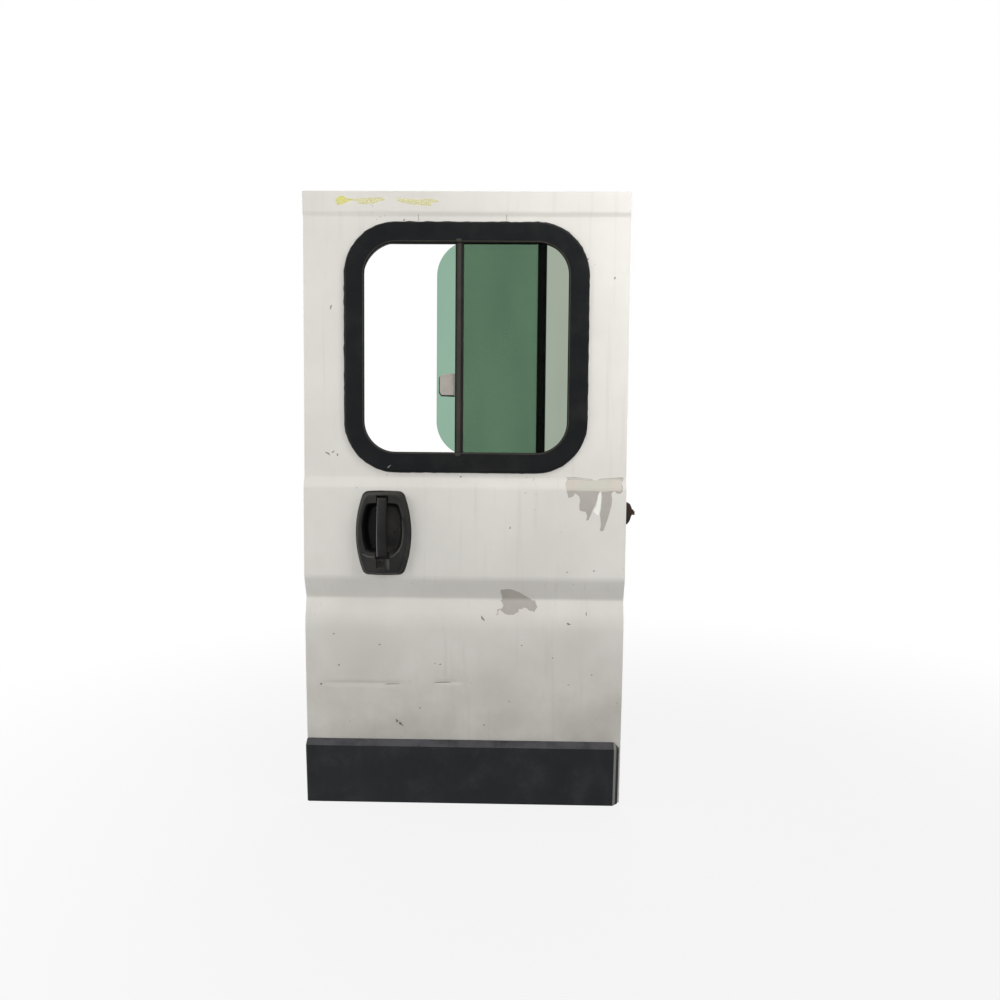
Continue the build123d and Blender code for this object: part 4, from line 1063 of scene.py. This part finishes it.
def make_check_buffer():
    """Greasy, torn rubber end stop of the door check."""
    buffer = flat_plate("torn_buffer", BUFFER_OUTLINE, 13.0, 14.0)
    soften(buffer, 1.6, 3)
    reopen(buffer)
    bpy.ops.mesh.select_all(action="SELECT")
    bpy.ops.mesh.quads_convert_to_tris()
    bpy.ops.mesh.subdivide(number_cuts=3)
    put_down()
    lumps = bpy.data.textures.new("torn lumps", "CLOUDS")
    lumps.noise_scale = 0.006
    lumps.noise_depth = 3
    modify(buffer, "DISPLACE", texture=lumps, strength=0.0022, mid_level=0.5)
    fit(buffer, GREASY_RUBBER, "check", 60)
    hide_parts("check_buffer")


# Fasteners

RING_UP = 284.0
RING_ACROSS = 279.0
RING_DEPTH = 52.2
RING_SCREW = 4.2
RELEASE_SCREW = 2.8
EDGE_BOLT = 4.6
EDGE_BOLTS = [
    # name, start and end across, depth, heights
    ("latch_edge_bolt", -764.9, -761.5, 26.4, (656, 722)),
    ("check_edge_bolt", -5.8, -2.4, 20.0, (704, 781)),
]


def screw_head(name, across, depth, height, radius):
    """Pan head with a cross recess, looking into the vehicle."""
    head = round_bar(name, radius, spot(across, depth, height), spot(across, depth + radius * 0.5, height), 24)
    back = spot(0, depth + radius * 0.4, 0).y
    pick("faces", lambda face: face.normal.y > 0.9 and middle(face).y > back)
    bpy.ops.mesh.inset(thickness=radius * 0.0004, depth=radius * 0.00018)
    put_down()
    arm = radius * 0.55
    slot = radius * 0.13
    for half_width, half_height in ((arm, slot), (slot, arm)):
        left, right = across - half_width, across + half_width
        front, rear = depth + radius * 0.3, depth + radius
        cutter = block(name + "_slot", left, right, front, rear, height - half_height, height + half_height)
        cut_away(head, cutter)
    return soften(head, radius * 0.06, 2, 40)


def make_screws():
    """Screws of the window's clamp ring, the inner release, and the edge bolts of the latch and the door check."""
    first = screw_head("ring_screw_1", WINDOW_MIDDLE, RING_DEPTH, WINDOW_LEVEL + RING_UP, RING_SCREW)
    places = [(side * step, level * RING_UP) for level in (1, -1) for side, step in ((-1, 140), (1, 140))]
    places += [(0, -RING_UP)]
    places += [(side * RING_ACROSS, level) for side in (-1, 1) for level in (-150, 0, 150)]
    for index, (across, height) in enumerate(places):
        shift = (across / 1000, 0, (height - RING_UP) / 1000)
        fit(clone(first, f"ring_screw_{index + 2}", shift), PLATED_STEEL)
    fit(first, PLATED_STEEL)
    small = screw_head("release_screw_1", -472.0, 53.2, 700, RELEASE_SCREW)
    fit(clone(small, "release_screw_2", (0.0795, 0, 0)), PLATED_STEEL)
    fit(small, PLATED_STEEL)
    for name, start, end, depth, levels in EDGE_BOLTS:
        for index, level in enumerate(levels):
            bolt = round_bar(f"{name}_{index + 1}", EDGE_BOLT, spot(start, depth, level), spot(end, depth, level), 6)
            soften(bolt, 0.5, 2)
            fit(bolt, PLATED_STEEL)


make_frame_edges()
make_mullion()
make_window_latch()
make_lever()
make_handle_details()
make_check_buffer()
make_screws()


# Stage, light and camera

FLOOR_LEVEL = solid_low.z - 0.001
SHOWN_WHITE = 0.85
WORLD_LIGHT = 0.25
CAMERA_PLACE = (-0.2635, -1.9043, 0.6252)
CAMERA_LENS = 27.36


def seen_directly(tree):
    """One where the ray comes from the camera, a reflection or through glass."""
    path = tree.nodes.new("ShaderNodeLightPath").outputs
    first = maths(tree, "MAXIMUM", path["Is Camera Ray"], path["Is Glossy Ray"])
    return maths(tree, "MAXIMUM", first, path["Is Transmission Ray"])


def make_stage():
    """Pale floor that keeps the door's shadow."""
    put_down()
    bpy.ops.mesh.primitive_plane_add(size=30, location=(0, 0, FLOOR_LEVEL))
    floor = bpy.context.object
    floor.name = "floor"
    finish = bpy.data.materials.new("pale floor")
    finish.use_nodes = True
    tree = finish.node_tree
    shader = tree.nodes["Principled BSDF"]
    shader.inputs["Base Color"].default_value = (0.4, 0.4, 0.4, 1)
    shader.inputs["Roughness"].default_value = 0.9
    white = add(tree, "Emission", {"Color": (1, 1, 1, 1), "Strength": 1.0})
    place = tree.nodes.new("ShaderNodeTexCoord").outputs["Object"]
    away = add(tree, "VectorMath", {0: place}, operation="LENGTH").outputs["Value"]
    white_share = span(tree, away, 0.4, 2.6, SHOWN_WHITE, 1.0)
    share = times(tree, seen_directly(tree), white_share)
    mixed = add(tree, "MixShader", {0: share, 1: shader.outputs[0], 2: white.outputs[0]})
    tree.links.new(mixed.outputs[0], tree.nodes["Material Output"].inputs["Surface"])
    floor.data.materials.append(finish)


def make_world(strength):
    """White backdrop that lights the door at a plain level."""
    world = bpy.data.worlds.new("white studio")
    bpy.context.scene.world = world
    world.use_nodes = True
    tree = world.node_tree
    light = tree.nodes["Background"]
    light.inputs["Color"].default_value = (1, 1, 1, 1)
    light.inputs["Strength"].default_value = strength
    white = add(tree, "Background", {"Color": (1, 1, 1, 1), "Strength": 1.0})
    mixed = add(tree, "MixShader", {0: seen_directly(tree), 1: light.outputs[0], 2: white.outputs[0]})
    tree.links.new(mixed.outputs[0], tree.nodes["World Output"].inputs["Surface"])


def lamp(name, place, target, width, height, power, shine=True):
    """Soft lamp that looks at a target."""
    light = bpy.data.lights.new(name, "AREA")
    light.shape = "RECTANGLE"
    light.size = width
    light.size_y = height
    light.energy = power
    stand = bpy.data.objects.new(name, light)
    bpy.context.scene.collection.objects.link(stand)
    stand.visible_camera = False
    stand.visible_transmission = False
    stand.visible_glossy = shine
    stand.location = place
    stand.rotation_mode = "QUATERNION"
    stand.rotation_quaternion = (Vector(target) - Vector(place)).to_track_quat("-Z", "Y")


def make_camera():
    """Camera where the photograph was taken."""
    data = bpy.data.cameras.new("camera")
    data.sensor_width = 36.0
    data.lens = CAMERA_LENS
    camera = bpy.data.objects.new("camera", data)
    bpy.context.scene.collection.objects.link(camera)
    right = Vector((0.99980437, 0.0175817, 0.00906101))
    up = Vector((-0.01009572, 0.05968451, 0.99816624))
    back = -Vector((-0.01700866, 0.99806244, -0.05985034))
    turn = Matrix((right, up, back)).transposed().to_4x4()
    camera.matrix_world = Matrix.Translation(CAMERA_PLACE) @ turn
    bpy.context.scene.camera = camera


make_stage()
make_world(WORLD_LIGHT)
lamp("side window light", (-2.2, -1.0, 1.0), (-0.5, 0.0, 0.5), 1.4, 1.4, 24.0)
lamp("front light", (0.3, -3.4, 1.0), (-0.4, 0.0, 0.5), 2.0, 2.0, 30.0, shine=False)
lamp("corner light", (0.6, -0.7, 1.1), (-0.1, 0.0, 0.8), 0.6, 0.6, 5.4, shine=False)
lamp("ceiling light", (0.35, -0.8, 2.2), (-0.1, 0.0, 1.1), 0.8, 0.5, 11.2)
lamp("rear light", (0.4, 2.6, 2.2), (-0.4, 0.0, 0.5), 2.2, 1.6, 40.0, shine=False)
make_camera()
bpy.context.scene.view_settings.view_transform = "Standard"

put_down()
